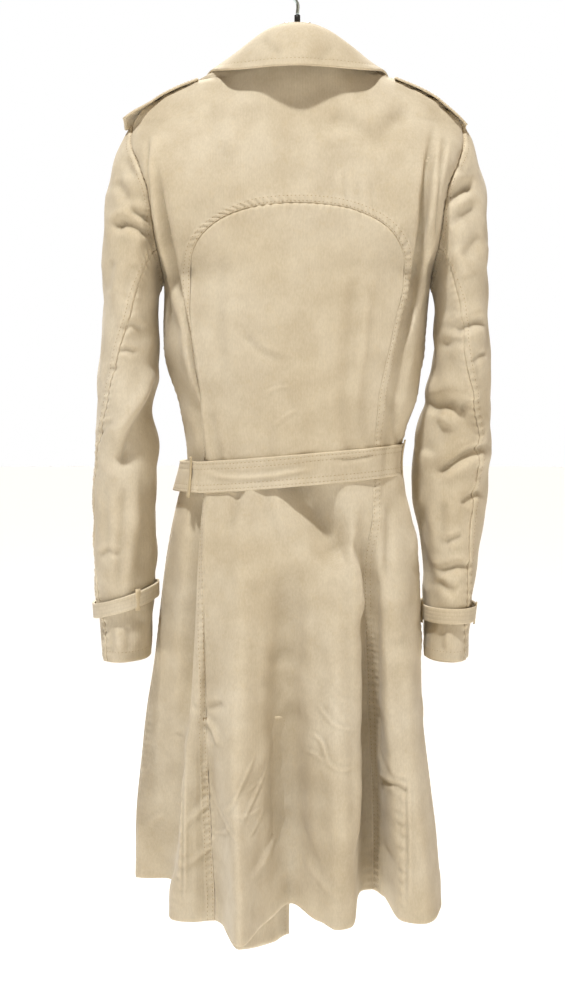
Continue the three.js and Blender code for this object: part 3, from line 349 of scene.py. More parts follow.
def opened(start, z):
    s = np.maximum(0, (downSkirt(z, 1.06) - start) / (1 - start))
    return np.where(s < 1, 0.45 * s + 0.55 * s * s * (3 - 2 * s), s)


def standOff(x, z, depth, lines, neckReach):
    half = np.where(x < 0, -lines["sideLeft"], lines["sideRight"])
    share = np.clip(np.abs(x) / half, 0, 1)
    full = depth * (1 - share ** coat["roundness"]) ** (1 / coat["roundness"])
    drop = np.clip((topZ(x) - z) / coat["shoulderRoll"], 0, 1)
    roll = np.sqrt(1 - (1 - drop) ** 2)
    neck = neckReach * np.sqrt(np.maximum(0, 1 - (x / coat["neckHalfWidth"]) ** 2))
    rise = np.clip((z - coat["underarmZ"]) / (coat["shoulderPointZ"] - coat["underarmZ"]), 0, 1)
    armhole = coat["armholeDepth"] * np.sin(np.pi * rise) ** 1.1 * ease(rise / 0.2) * share**3
    shallow = np.minimum(neck, full)
    return armhole + shallow + (full - shallow) * roll


def sideY(x, z, lines):
    half = np.where(x < 0, -lines["sideLeft"], lines["sideRight"])
    swing = np.where(x < 0, coat["swingLeft"], coat["swingRight"])
    return swing * downSkirt(z, 1.1) ** 1.3 * np.clip(x / half, -1, 1) ** 2


def linesAt(z):
    return {name: atHeight(mainLines, name, z) for name in mainLines if name != "z"}


# Where every fold of the back stands at each height: folds by heights by (x, y)
def backPlaces(z):
    lines = linesAt(z)
    fold = {name: values[:, None] for name, values in backFolds.items()}
    toShoulder = ease((z - coat["underarmZ"]) / (coat["shoulderPointZ"] - coat["underarmZ"]))
    toChest = ease((z - coat["skirtTopZ"]) / (coat["underarmZ"] - coat["skirtTopZ"]))
    share = np.where(z > coat["underarmZ"], mix(fold["chest"], fold["shoulder"], toShoulder),
                     np.where(z > coat["skirtTopZ"], mix(fold["waist"], fold["chest"], toChest),
                              mix(fold["waist"], fold["hem"], downSkirt(z, 1.06))))
    ends = np.stack([lines["sideLeft"], lines["seamLeft"], lines["seamRight"], lines["sideRight"]])
    panel = backFolds["panel"].astype(int)
    x = mix(ends[panel], ends[panel + 1], share)
    chest = np.sin(np.pi * np.clip((z - coat["skirtTopZ"]) / (coat["shoulderPointZ"] - coat["skirtTopZ"]), 0, 1))
    base = sideY(x, z, lines) - standOff(x, z, lines["back"], lines, coat["neckDepth"])
    return np.stack([x, base - fold["bust"] * chest - fold["out"] * opened(fold["opensFrom"], z)], -1)


def frontPlaces(z):
    lines = linesAt(z)
    middle = (lines["sideLeft"] + lines["sideRight"]) / 2
    half = (lines["sideRight"] - lines["sideLeft"]) / 2
    x = middle + half * np.cos(np.pi * frontFolds["at"][:, None])
    y = sideY(x, z, lines) + standOff(x, z, lines["front"], lines, 0) + frontFolds["out"][:, None] * opened(0, z)
    return np.stack([x, y], -1)


# Between four places of a section: a centripetal curve, which makes no loops where they are uneven
def smoothPlace(p0, p1, p2, p3, t):
    gap = [np.maximum(np.linalg.norm(b - a, axis=-1, keepdims=True) ** 0.5, 0.01)
           for a, b in ((p0, p1), (p1, p2), (p2, p3))]
    step = p2 - p1
    start = step + gap[1] * ((p1 - p0) / gap[0] - (p2 - p0) / (gap[0] + gap[1]))
    end = step + gap[1] * ((p3 - p2) / gap[2] - (p3 - p1) / (gap[1] + gap[2]))
    return p1 + t * (start + t * (3 * step - 2 * start - end + t * (start + end - 2 * step)))


def face(side, along, z):
    along, z = np.broadcast_arrays(np.asarray(along, float), np.asarray(z, float))
    flatAlong, flatZ = along.ravel(), z.ravel()
    own, other = (backPlaces, frontPlaces) if side == "back" else (frontPlaces, backPlaces)
    places, beyond = own(flatZ), other(flatZ)
    places = np.concatenate([beyond[-2:-1], places, beyond[1:2]])
    i = np.clip(np.floor(flatAlong), 0, len(places) - 4).astype(int)
    point = np.arange(len(flatZ))
    across = smoothPlace(*(places[i + k, point] for k in range(4)), (flatAlong - i)[:, None])
    return np.concatenate([across, flatZ[:, None]], -1).reshape(along.shape + (3,))


# How far round the face a given x lies at height z
def alongAt(side, x, z, low, high):
    x, z = np.broadcast_arrays(np.asarray(x, float), np.asarray(z, float))
    a, b = np.full(x.shape, float(low)), np.full(x.shape, float(high))
    falls = side == "front"
    for _ in range(26):
        middle = (a + b) / 2
        before = (face(side, middle, z)[..., 0] > x) == falls
        a, b = np.where(before, middle, a), np.where(before, b, middle)
    return (a + b) / 2


def unit(v):
    return v / np.maximum(np.linalg.norm(v, axis=-1, keepdims=True), 1e-9)


def gridNormals(grid, outward, ring=False):
    wide = np.concatenate([grid[:, -2:-1], grid, grid[:, 1:2]], 1) if ring else grid
    across = np.gradient(wide, axis=1)
    across = across[:, 1:-1] if ring else across
    return unit(np.cross(across, np.gradient(grid, axis=0))) * outward


print("surface ready")


# Building: a panel is a grid of points in millimetres, with its outward normals
def unevenness(points, size, seed):
    random = np.random.default_rng(seed)
    total = np.zeros(points.shape[:-1])
    for _ in range(7):
        direction = unit(random.normal(size=3)) / (size * random.uniform(0.6, 1.6))
        total += np.sin(2 * np.pi * (points @ direction + random.uniform()))
    return total / 7**0.5


# Distance of every grid point from one edge, and the length along that edge
def edgeMeasure(grid, edge):
    turned = {"first": grid, "last": grid[:, ::-1], "bottom": grid.transpose(1, 0, 2),
              "top": grid[::-1].transpose(1, 0, 2)}[edge]
    steps = np.linalg.norm(np.diff(turned, axis=1), axis=-1)
    away = np.concatenate([np.zeros((len(turned), 1)), np.cumsum(steps, 1)], 1)
    run = np.concatenate([[0], np.cumsum(np.linalg.norm(np.diff(turned[:, 0], axis=0), axis=-1))])
    along = np.broadcast_to(run[:, None], away.shape)
    back = {"first": lambda a: a, "last": lambda a: a[:, ::-1], "bottom": lambda a: a.T, "top": lambda a: a.T[::-1]}[edge]
    return back(away), back(along)


# A seam: the cloth dips into it, lies double beside it and puckers where the stitching draws it in
def seamRelief(grid, edge, band=0, pucker=0.35, wave=9.0, reach=9.0, seed=1):
    away, along = edgeMeasure(grid, edge)
    random = np.random.default_rng(seed)
    relief = -0.8 * np.exp(-(away / 1.8) ** 2)
    if band:
        relief += 0.75 * (1 - ease((away - band) / 2.5))
    drift = sum(np.sin(along / wave * rate + random.uniform(0, 6)) for rate in (0.31, 0.47)) * 1.3
    strength = 0.6 + 0.4 * np.sin(along / 37 + random.uniform(0, 6))
    lobes = np.sin(2 * np.pi * along / wave + drift + away / reach * 1.2)
    return relief + pucker * strength * lobes * np.exp(-((away - band * 0.5) / reach) ** 2)


# Relief dies out at an edge that another panel is sewn to, so the two meet
def sewnTo(grid, edge, reach=3.0):
    return ease(edgeMeasure(grid, edge)[0] / reach)


# A smooth path through a few (x, z) places
def smoothPath(path, pieces=6):
    places = np.array(path, float)
    places = np.concatenate([[2 * places[0] - places[1]], places, [2 * places[-1] - places[-2]]])
    t = np.linspace(0, 1, pieces, endpoint=False)[:, None]
    runs = [smoothPlace(*places[k:k + 4], t) for k in range(len(places) - 3)]
    return np.concatenate([*runs, places[-2:-1]])


# Creases: (depth, width, ridge beside it, path in x and z); depth below 0 is a trough
def creaseRelief(grid, creases):
    x, z = grid[..., 0], grid[..., 2]
    total = np.zeros(x.shape)
    for depth, width, beside, path in creases:
        line = smoothPath(path)
        reach = 4.5 * width
        near = ((x > line[:, 0].min() - reach) & (x < line[:, 0].max() + reach)
                & (z > line[:, 1].min() - reach) & (z < line[:, 1].max() + reach))
        if not near.any():
            continue
        place = np.stack([x[near], z[near]], -1)
        a, b = line[:-1], line[1:]
        span = b - a
        lengths = np.linalg.norm(span, axis=1)
        starts = np.concatenate([[0], np.cumsum(lengths)[:-1]])
        nearest, signed, share = np.full(len(place), 1e9), np.zeros(len(place)), np.zeros(len(place))
        for k in range(len(a)):
            away = place - a[k]
            t = np.clip(away @ span[k] / max(lengths[k], 1e-6) ** 2, 0, 1)
            off = place - (a[k] + t[:, None] * span[k])
            distance = np.hypot(off[:, 0], off[:, 1])
            closer = distance < nearest
            side = np.sign(span[k][0] * away[:, 1] - span[k][1] * away[:, 0])
            nearest = np.where(closer, distance, nearest)
            signed = np.where(closer, distance * side, signed)
            share = np.where(closer, (starts[k] + t * lengths[k]) / lengths.sum(), share)
        fade = ease(share / 0.22) * ease((1 - share) / 0.22)
        shape = (depth * np.exp(-(signed / width) ** 2) + beside * np.exp(-((signed - 1.8 * width) / (1.3 * width)) ** 2)
                 + 0.5 * beside * np.exp(-((signed + 2.0 * width) / (1.5 * width)) ** 2))
        total[near] += shape * fade
    return total


def newPiece(name, points, faces, finish, nodes=()):
    mesh = bpy.data.meshes.new(name)
    mesh.from_pydata((np.asarray(points) * mm).tolist(), [], [list(f) for f in faces])
    mesh.polygons.foreach_set("use_smooth", np.ones(len(mesh.polygons), bool))
    mesh.materials.append(finishes[finish])
    made = bpy.data.objects.new(name, mesh)
    bpy.context.collection.objects.link(made)
    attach(made, "root")
    if nodes:
        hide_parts(*nodes)
    return made


# One closed body between a fine outer grid and an inner one with every second row and column;
# a ring joins its last column to its first
def quads(rows, columns, ring):
    i, j = np.meshgrid(np.arange(rows - 1), np.arange(columns if ring else columns - 1), indexing="ij")
    a, b = i * columns + j, i * columns + (j + 1) % columns
    return np.stack([a, b, b + columns, a + columns], -1).reshape(-1, 4)


def shellFaces(rows, columns, ring):
    layer = rows * columns
    inRows = (rows + 1) // 2
    inColumns = columns // 2 if ring else (columns + 1) // 2
    faces = quads(rows, columns, ring).tolist() + (quads(inRows, inColumns, ring)[:, ::-1] + layer).tolist()
    last, inLast = (rows - 1) * columns, (inRows - 1) * inColumns
    for j in range(0, columns if ring else columns - 1, 2):
        a, middle, b = j, j + 1, (j + 2) % columns
        inA, inB = layer + j // 2, layer + (j // 2 + 1) % inColumns
        faces.append([b, middle, a, inA, inB])
        faces.append([a + last, middle + last, b + last, inB + inLast, inA + inLast])
    for i in range(0, 0 if ring else rows - 1, 2):
        a, middle, b = i * columns, (i + 1) * columns, (i + 2) * columns
        inA, inB = layer + i // 2 * inColumns, layer + (i // 2 + 1) * inColumns
        wide, inWide = columns - 1, inColumns - 1
        faces.append([a, middle, b, inB, inA])
        faces.append([b + wide, middle + wide, a + wide, inA + inWide, inB + inWide])
    return faces


panels = {}


def addPanel(name, grid, outward, relief, thick, finish="cloth", ring=False, nodes=None):
    grid = grid + gridNormals(grid, outward, ring) * relief[..., None]
    normals = gridNormals(grid, outward, ring)
    inner = (grid - normals * thick)[::2, ::2]
    faces = shellFaces(*grid.shape[:2], ring)
    if outward < 0:
        faces = [face[::-1] for face in faces]
    points = np.concatenate([grid.reshape(-1, 3), inner.reshape(-1, 3)])
    made = newPiece(name + "_cloth", points, faces, finish, nodes or [name])
    panels[name] = {"grid": grid, "normals": normals, "piece": made}
    return made


# Stitches, gathered by seam and made into one piece each
stitchSize = {"pitch": 4.4, "length": 3.2, "width": 1.0, "height": 0.4, "sunk": 0.1}
stitchRuns = {}


# The line that runs at a distance from a panel's edge, between two shares of the edge
def lineBeside(name, edge, distance, start=0.0, end=1.0):
    grid, normals = panels[name]["grid"], panels[name]["normals"]
    turn = {"first": lambda a: a, "last": lambda a: a[:, ::-1], "bottom": lambda a: a.transpose(1, 0, 2),
            "top": lambda a: a[::-1].transpose(1, 0, 2)}[edge]
    grid, normals = turn(grid), turn(normals)
    steps = np.linalg.norm(np.diff(grid, axis=1), axis=-1)
    away = np.concatenate([np.zeros((len(grid), 1)), np.cumsum(steps, 1)], 1)
    k = np.clip((away < distance).sum(1), 1, away.shape[1] - 1)
    rows = np.arange(len(grid))
    t = np.clip((distance - away[rows, k - 1]) / np.maximum(away[rows, k] - away[rows, k - 1], 1e-6), 0, 1)[:, None]
    points = mix(grid[rows, k - 1], grid[rows, k], t)
    facing = unit(mix(normals[rows, k - 1], normals[rows, k], t))
    chosen = slice(int(start * len(rows)), max(int(end * len(rows)), 2))
    return points[chosen], facing[chosen]


def addStitches(group, line, pitch=None):
    points, normals = line
    pitch = pitch or stitchSize["pitch"]
    run = np.concatenate([[0], np.cumsum(np.linalg.norm(np.diff(points, axis=0), axis=-1))])
    middles = np.arange(pitch / 2, run[-1] - pitch / 2, pitch)
    if not len(middles):
        return

    def at(places, source):
        return np.stack([np.interp(places, run, source[:, k]) for k in range(3)], -1)

    start, finish = at(middles - stitchSize["length"] / 2, points), at(middles + stitchSize["length"] / 2, points)
    normal = unit(at(middles, normals))
    side = unit(np.cross(finish - start, normal)) * stitchSize["width"] / 2
    centre = at(middles, points)
    start, finish, centre = (place - normal * stitchSize["sunk"] for place in (start, finish, centre))
    corners = np.stack([start, finish, centre + side, centre - side,
                        centre + normal * stitchSize["height"], centre - normal * stitchSize["height"]], 1)
    stitchRuns.setdefault(group, []).append(corners.reshape(-1, 3))


def makeStitches():
    spindle = np.array([[0, 4, 2], [4, 1, 2], [0, 3, 4], [4, 3, 1], [0, 2, 5], [5, 2, 1], [0, 5, 3], [5, 1, 3]])
    for group, runs in stitchRuns.items():
        points = np.concatenate(runs)
        starts = np.arange(0, len(points), 6)
        faces = (spindle[None, :, ::-1] + starts[:, None, None]).reshape(-1, 3)
        newPiece(group, points, faces, "thread")


# Back: an outer panel runs up one side, over the arch as the yoke and down the other side
backBuild = {"sideRows": 310, "archRowsPerStation": 14, "columns": 78, "centreColumns": 150, "centreRows": 340,
             "seamBand": 8.5, "sway": 0.9, "bartack": 10}
backCreases = [
    # folds beside the armholes, down to the waist
    (7, 7, 0, [(-158, -187), (-156, -232), (-152, -275), (-144, -323), (-135, -372), (-127, -421)]),
    (-5, 2.6, 1, [(-165, -195), (-163, -241), (-159, -289), (-151, -333), (-144, -377)]),
    (-10, 3.4, 1.5, [(-153, -222), (-148, -275), (-139, -324), (-131, -367), (-126, -399),
        (-118, -444), (-112, -494), (-106, -569)]),
    (-6, 3.6, 1.5, [(151, -181), (144, -222), (139, -259), (136, -307), (130, -354), (123, -386),
        (111, -437), (102, -487)]),
    (4, 5, -1, [(158, -190), (154, -232), (150, -275), (144, -318), (139, -361), (129, -405),
        (117, -459)]),
    (-4, 3, 1.5, [(163, -198), (156, -238), (152, -280), (149, -318)]),
    # dents of the yoke
    (-4.5, 11, 2, [(130, -163), (115, -178), (100, -193), (89, -208), (81, -227)]),
    (-3, 10, 1.5, [(33, -178), (51, -191), (72, -198), (89, -195)]),
    (-2, 12, 1, [(-101, -161), (-91, -187), (-85, -215), (-72, -244)]),
    # small gathers over the arch
    (-0.9, 3.4, 0.4, [(35, -242), (37, -264), (40, -289)]),
    (-1, 3, 0.4, [(50, -240), (51, -264), (54, -294)]),
    (-0.9, 3.8, 0.4, [(64, -247), (65, -272), (68, -300)]),
    (-1, 3.2, 0.4, [(79, -251), (81, -277), (85, -306)]),
    # drapes of the centre panel down to the belt
    (-3, 9, 1.5, [(64, -336), (61, -384), (58, -427), (54, -481), (49, -536)]),
    (2.2, 6, -0.8, [(76, -367), (72, -416), (68, -459), (61, -503)]),
    (-2.2, 7, 1, [(-79, -330), (-84, -384), (-83, -438), (-78, -481)]),
    (0.9, 1.6, -0.5, [(0, -501), (-14, -510), (-30, -522)]),
    (0.8, 1.8, -0.4, [(-39, -487), (-25, -479), (-6, -477)]),
    (-1.6, 5, 0.8, [(-63, -416), (-39, -440), (-9, -451)]),
    # gathers where the belt draws the waist in
    (-3, 4.5, 1.2, [(-118, -487), (-111, -519), (-107, -547), (-103, -585)]),
    (-2, 5, 1, [(-95, -498), (-92, -530), (-86, -558), (-84, -590)]),
    (-2, 7, 1, [(44, -476), (50, -514), (57, -547), (60, -579)]),
    (-3, 5, 1.5, [(100, -481), (107, -514), (114, -542), (116, -570)]),
    (-1.6, 6, 0.8, [(72, -487), (76, -519), (80, -547), (82, -579)]),
    (-1.2, 8, 0.6, [(-35, -508), (-29, -536), (-26, -563), (-24, -590)]),
    # main folds of the skirt: crests, hollows and the dark crease beside the left princess seam
    (-18, 7, 4, [(-112, -567), (-114, -622), (-115, -665), (-117, -709), (-121, -753), (-124, -812),
        (-128, -885)]),
    (-5, 6, 1.5, [(-127, -858), (-132, -914), (-138, -982), (-141, -1047)]),
    (-26, 21, 3, [(-11, -555), (11, -597), (35, -636), (53, -681)]),
    (-13, 17, 2, [(-6, -665), (-12, -753), (-13, -863), (-11, -952), (-7, -1042)]),
    (7, 13, 0, [(41, -697), (42, -763), (45, -861), (48, -961), (52, -1045)]),
    (7, 5, 0, [(61, -665), (62, -753), (63, -841), (63, -930), (64, -1008)]),
    (-15, 8, 0, [(74, -603), (78, -704), (80, -805), (83, -896), (86, -988), (88, -1069)]),
    (7, 6, 0, [(58, -614), (60, -644), (63, -688), (63, -738)]),
    (3, 7, -0.6, [(92, -602), (90, -646), (87, -702)]),
    (-3, 6, 1, [(102, -602), (101, -641), (99, -691)]),
    (5, 7, -1, [(113, -561), (120, -609), (129, -642), (135, -687)]),
    (-3, 6, 1.5, [(-62, -567), (-67, -605), (-78, -643)]),
    (-2.5, 8, 1.2, [(-39, -567), (-32, -611), (-17, -654)]),
    (5, 12, 0, [(-59, -599), (-61, -663), (-62, -749), (-63, -858)]),
    # crumples of the centre panel
    (1.1, 1.7, -0.6, [(-46, -876), (-56, -896), (-67, -920), (-83, -945)]),
    (1.0, 1.6, -0.6, [(-27, -874), (-34, -899), (-47, -923), (-64, -952)]),
    (1.1, 1.7, -0.6, [(-102, -903), (-99, -920), (-93, -934), (-78, -952), (-59, -969)]),
    (0.9, 1.6, -0.5, [(-27, -879), (-19, -897), (-12, -915)]),
    (0.8, 1.6, -0.4, [(-35, -938), (-44, -952), (-55, -967)]),
    (0.8, 1.6, -0.4, [(-71, -936), (-56, -941), (-38, -939)]),
    (0.8, 1.6, -0.4, [(-93, -974), (-80, -963), (-73, -947)]),
    (0.7, 1.6, -0.4, [(-56, -917), (-43, -911), (-32, -913)]),
    (0.7, 6, -0.3, [(-88, -738), (-71, -735), (-49, -727)]),
    (0.8, 5, -0.4, [(-60, -752), (-45, -758), (-28, -761)]),
    (1.4, 9, -0.5, [(-71, -688), (-55, -685), (-34, -693)]),
    (-1.2, 10, 0.5, [(-65, -803), (-39, -809), (-11, -794)]),
    (-1, 9, 0.5, [(-32, -766), (-11, -781), (15, -783)]),
    (0.8, 4, -0.4, [(-28, -861), (-14, -841), (-9, -815)]),
    (-1.6, 11, 0.6, [(-84, -759), (-72, -803), (-67, -857)]),
    # crumples of the right crest
    (1.1, 2, -0.8, [(7, -859), (18, -860), (27, -866), (36, -888), (49, -895), (64, -893)]),
    (0.8, 2, -0.5, [(7, -879), (20, -881), (33, -890)]),
    (0.8, 2, -0.5, [(20, -821), (30, -835), (42, -846), (60, -854)]),
    (0.7, 2, -0.4, [(36, -805), (44, -816), (54, -824)]),
    (-1.2, 8, 0.5, [(17, -752), (31, -783), (37, -818)]),
    (1.2, 6, -0.5, [(51, -917), (46, -956), (53, -995)]),
    # crumples of the right panel
    (-2, 2.4, 1.2, [(93, -927), (102, -921), (113, -921), (125, -929)]),
    (-1, 2.8, 0.6, [(91, -887), (99, -904), (112, -919)]),
    (3.5, 11, -1, [(112, -704), (107, -725), (108, -743), (114, -763)]),
    (-1.6, 8, 0.8, [(101, -775), (112, -821), (122, -872)]),
    (1, 5, -0.5, [(102, -965), (114, -992), (120, -1027)]),
    (-1.5, 6, 0.8, [(99, -997), (109, -1025), (107, -1055)]),
    # crumples near the hem
    (1.2, 4, -0.6, [(-52, -1014), (-33, -994), (-9, -976)]),
    (1.4, 5, -0.7, [(5, -994), (19, -1017), (36, -1032), (59, -1041)]),
    (-1.2, 6, 0.6, [(0, -968), (15, -990), (24, -1026)]),
    (1.1, 4, -0.5, [(-133, -1012), (-115, -1003), (-97, -989)]),
    (1, 4, -0.5, [(-128, -964), (-113, -952), (-96, -935)]),
    (-1.4, 7, 0.7, [(-83, -994), (-72, -1028), (-57, -1050)]),
    (1, 4, -0.5, [(-181, -1006), (-169, -995), (-157, -985)]),
    (-1.2, 7, 0.5, [(-172, -890), (-168, -936), (-170, -983)]),
    # pulls from the top of the vent
    (3, 4, -1, [(-108, -845), (-94, -853), (-83, -872)]),
    (-2.5, 4, 1, [(-100, -837), (-92, -830), (-81, -823)]),
    (1.6, 3, -0.8, [(-104, -854), (-98, -872), (-99, -891), (-103, -912)]),
    (-1.8, 3, 0.8, [(-109, -837), (-116, -828), (-120, -817)]),
]


def hemRise(along):
    i = np.clip(np.floor(along), 0, backLast - 1).astype(int)
    return mix(backFolds["rise"][i], backFolds["rise"][i + 1], ease(along - i))


def columnZ(along, share):
    z = mix(coat["hemZ"], coat["archFootZ"], share)
    below = np.maximum(0, (coat["skirtTopZ"] - z) / (coat["skirtTopZ"] - coat["hemZ"]))
    return z + hemRise(along) * below


def archTop(along):
    foot = coat["archFootZ"]
    left, right = face("back", [seamLeft, seamRight], foot)[:, 0]
    share = np.clip(np.abs(2 * face("back", along, foot)[..., 0] - left - right) / (right - left), 0, 1)
    return foot + coat["archRise"] * (1 - share ** coat["archRoundness"]) ** (1 / coat["archRoundness"])


# Outside edge of the outer panel over the arch: armhole, shoulder, neck, shoulder, armhole
stations = {"shoulderLeft": 4, "neckLeft": 7, "neckRight": 15, "shoulderRight": 20 - 1, "last": 24}


def outline(k):
    s, wide, neck = stations, coat["shoulderHalfWidth"], coat["neckHalfWidth"]
    x = np.interp(k, [s["shoulderLeft"], s["neckLeft"], s["neckRight"], s["shoulderRight"]], [-wide, -neck, neck, wide])
    top = alongAt("back", x, coat["shoulderPointZ"], 0, backLast)
    foot, point = coat["archFootZ"], coat["shoulderPointZ"]
    along = np.where(k <= s["shoulderLeft"], 0, np.where(k >= s["shoulderRight"], backLast, top))
    z = np.where(k <= s["shoulderLeft"], mix(foot, point, k / s["shoulderLeft"]), np.where(
        k >= s["shoulderRight"], mix(point, foot, (k - s["shoulderRight"]) / (s["last"] - s["shoulderRight"])), topZ(x)))
    return along, z


def outerGrid():
    s = np.linspace(0, 1, backBuild["columns"] + 1) ** 1.3  # closer rows by the seam, where it puckers
    share = np.linspace(0, 1, backBuild["sideRows"] + 1)[:, None]
    sides = []
    for seam, edge in ((seamLeft, 0), (seamRight, backLast)):
        along = np.broadcast_to(mix(seam, edge, s), (len(share), len(s)))
        sides.append(face("back", along, columnZ(along, share)))
    k = np.linspace(0, stations["last"], stations["last"] * backBuild["archRowsPerStation"] + 1)[1:-1]
    seamAlong = mix(seamLeft, seamRight, k / stations["last"])
    outAlong, outZ = outline(k)
    crowd = mix(1, 1.6, ease(np.minimum(k, stations["last"] - k) / 2))[:, None]
    t = 1 - (1 - s) ** crowd
    over = face("back", mix(seamAlong[:, None], outAlong[:, None], t), mix(archTop(seamAlong)[:, None], outZ[:, None], t))
    return np.concatenate([sides[0], over, sides[1][::-1]])


def centreGrid():
    along = np.linspace(seamLeft, seamRight, backBuild["centreColumns"] + 1)
    share = np.linspace(0, 1, backBuild["centreRows"] + 1)[:, None]
    hem = coat["hemZ"] + hemRise(along)
    return face("back", np.broadcast_to(along, (len(share), len(along))), mix(hem, archTop(along), share))


# Side seams of the skirt, which show inside the side folds: drawn in by short puckers beside the stitches
sideSeams = {"left": {"x": -127, "top": -862, "bottom": -1060, "lean": -1, "to": -1, "depth": 20},
             "right": {"x": 121, "top": -905, "bottom": -1060, "lean": 1, "to": -1, "depth": 40}}


def sideSeamCreases():
    creases = []
    for seam in sideSeams.values():
        creases.append((-1.6, 1.6, 0.9, [(seam["x"], seam["top"]), (seam["x"] + seam["lean"], seam["bottom"])]))
        for k, z in enumerate(np.arange(seam["top"] - 10, seam["bottom"], -13)):
            reach = seam["to"] * (12 + 5 * math.sin(2.3 * k))
            creases.append((-0.8 - 0.4 * math.sin(1.7 * k), 2.4, 0.6, [(seam["x"] + reach, z + 4), (seam["x"], z)]))
    return creases


def buildBack():
    grid = outerGrid()
    across, up = np.gradient(grid, axis=1), np.gradient(grid, axis=0)
    turned = np.cross(across, up)
    turned /= np.maximum(np.linalg.norm(turned, axis=-1, keepdims=True), 1e-9)
    facing = ease(2.5 * np.abs(turned[..., 1]) - 0.9)  # 0 on a side wall, 1 where the cloth faces back
    relief = (seamRelief(grid, "first", band=backBuild["seamBand"], pucker=0.75, reach=5.5, wave=8, seed=3)
              + creaseRelief(grid, backCreases) + facing * creaseRelief(grid, sideSeamCreases())
              + backBuild["sway"] * unevenness(grid, 55, 4) + seamRelief(grid, "last", pucker=0.6, seed=5))
    addPanel("back_outer", grid, -1, relief * sewnTo(grid, "last"), coat["cloth"])
    grid = centreGrid()
    relief = (seamRelief(grid, "first", pucker=0.45, seed=7) + seamRelief(grid, "last", pucker=0.45, seed=8)
              + seamRelief(grid, "top", pucker=0.5, seed=9) + creaseRelief(grid, backCreases)
              + backBuild["sway"] * unevenness(grid, 55, 4))
    addPanel("back_centre", grid, 1, relief, coat["cloth"])
    for distance in (1.8, backBuild["seamBand"] - 0.6):
        addStitches("back_seam_stitches", lineBeside("back_outer", "first", distance))
    # A bartack holds the top of the vent
    grid, normals = panels["back_outer"]["grid"], panels["back_outer"]["normals"]
    share = (coat["ventTopZ"] - coat["hemZ"]) / (coat["archFootZ"] - coat["hemZ"])
    row = round(share * backBuild["sideRows"])
    across = grid[row, 14] - grid[row, 0]
    for k in range(5):
        up = np.array([0, 0, 1.0]) * (k - 2) * 0.8
        line = grid[row, 0] + unit(across) * np.array([-2, 2, 6, backBuild["bartack"]])[:, None] + up
        addStitches("back_seam_stitches", (line, np.repeat(normals[row, :1], 4, 0)), pitch=3.0)


# Vent: under the centre panel a flap of the side back hangs lower than it
def underlapGrid():
    down = np.linspace(0, 1, 71)[:, None]
    s = np.linspace(0, 1, 37)[None, :]
    bottom = mix(coat["hemZ"] + 12, coat["underlapHemZ"], ease((s - 0.12) / 0.3))  # hidden by the crest's hem
    z = mix(coat["ventTopZ"], bottom, down)
    onPanel = np.maximum(z, coat["hemZ"])
    x = mix(atHeight(mainLines, "seamLeft", onPanel) - 14, -9, s)  # its sewn edge lies under the side back
    along = alongAt("back", x, onPanel, seamLeft - 1, seamRight)
    panelY = face("back", along, onPanel)[..., 1]
    flat = -78 - 18 * np.sin(np.pi * s) + 33 * s * s
    behind = panelY + 6 + 9 * ease((s - 0.45) / 0.5)
    return np.stack([x, np.maximum(behind, mix(behind, flat, ease(down * 1.3) * ease(s / 0.3))), z], -1)


def buildUnderlap():
    grid = underlapGrid()[::-1]
    addPanel("vent_underlap", grid, 1, 0.3 * unevenness(grid, 40, 12), coat["cloth"])
    addStitches("back_seam_stitches", lineBeside("vent_underlap", "last", 6))


buildBack()
buildUnderlap()
print("back built")


# Fronts: above the break each edge turns back along its roll line, and the left front passes behind the right
frontBuild = {"lowRows": 150, "highRows": 66, "columns": 64, "sway": 0.6, "edgeStitch": 7.0}
lapel = {"topZ": -184, "width": 84, "pointAt": 0.8, "notch": 0.45, "drop": 22, "lift": 0.7, "rows": 72, "columns": 30}
frontCreases = [
    (-3, 9, 1.5, [(-120, -250), (-112, -360), (-100, -480), (-92, -552)]),
    (-3, 8, 1.5, [(118, -260), (112, -370), (96, -490), (90, -552)]),
    (-2, 10, 1, [(-60, -420), (-52, -490), (-50, -550)]),
    (2, 9, -1, [(30, -430), (36, -500), (34, -548)]),
    (-4, 5, 2, [(-95, -592), (-98, -620), (-104, -660)]),
    (-4, 5, 2, [(84, -592), (88, -625), (96, -670)]),
    (1.6, 3, -0.8, [(-70, -900), (-48, -912), (-20, -905)]),
    (1.5, 3, -0.8, [(46, -840), (70, -852), (92, -846)]),
    (-1.6, 5, 0.8, [(10, -960), (26, -990), (30, -1030)]),
]


def rollX(z):
    share = np.clip((z - coat["breakZ"]) / (coat["neckZ"] - coat["breakZ"]), 0, 1)
    return mix(-coat["frontEdgeX"], coat["neckHalfWidth"], share)


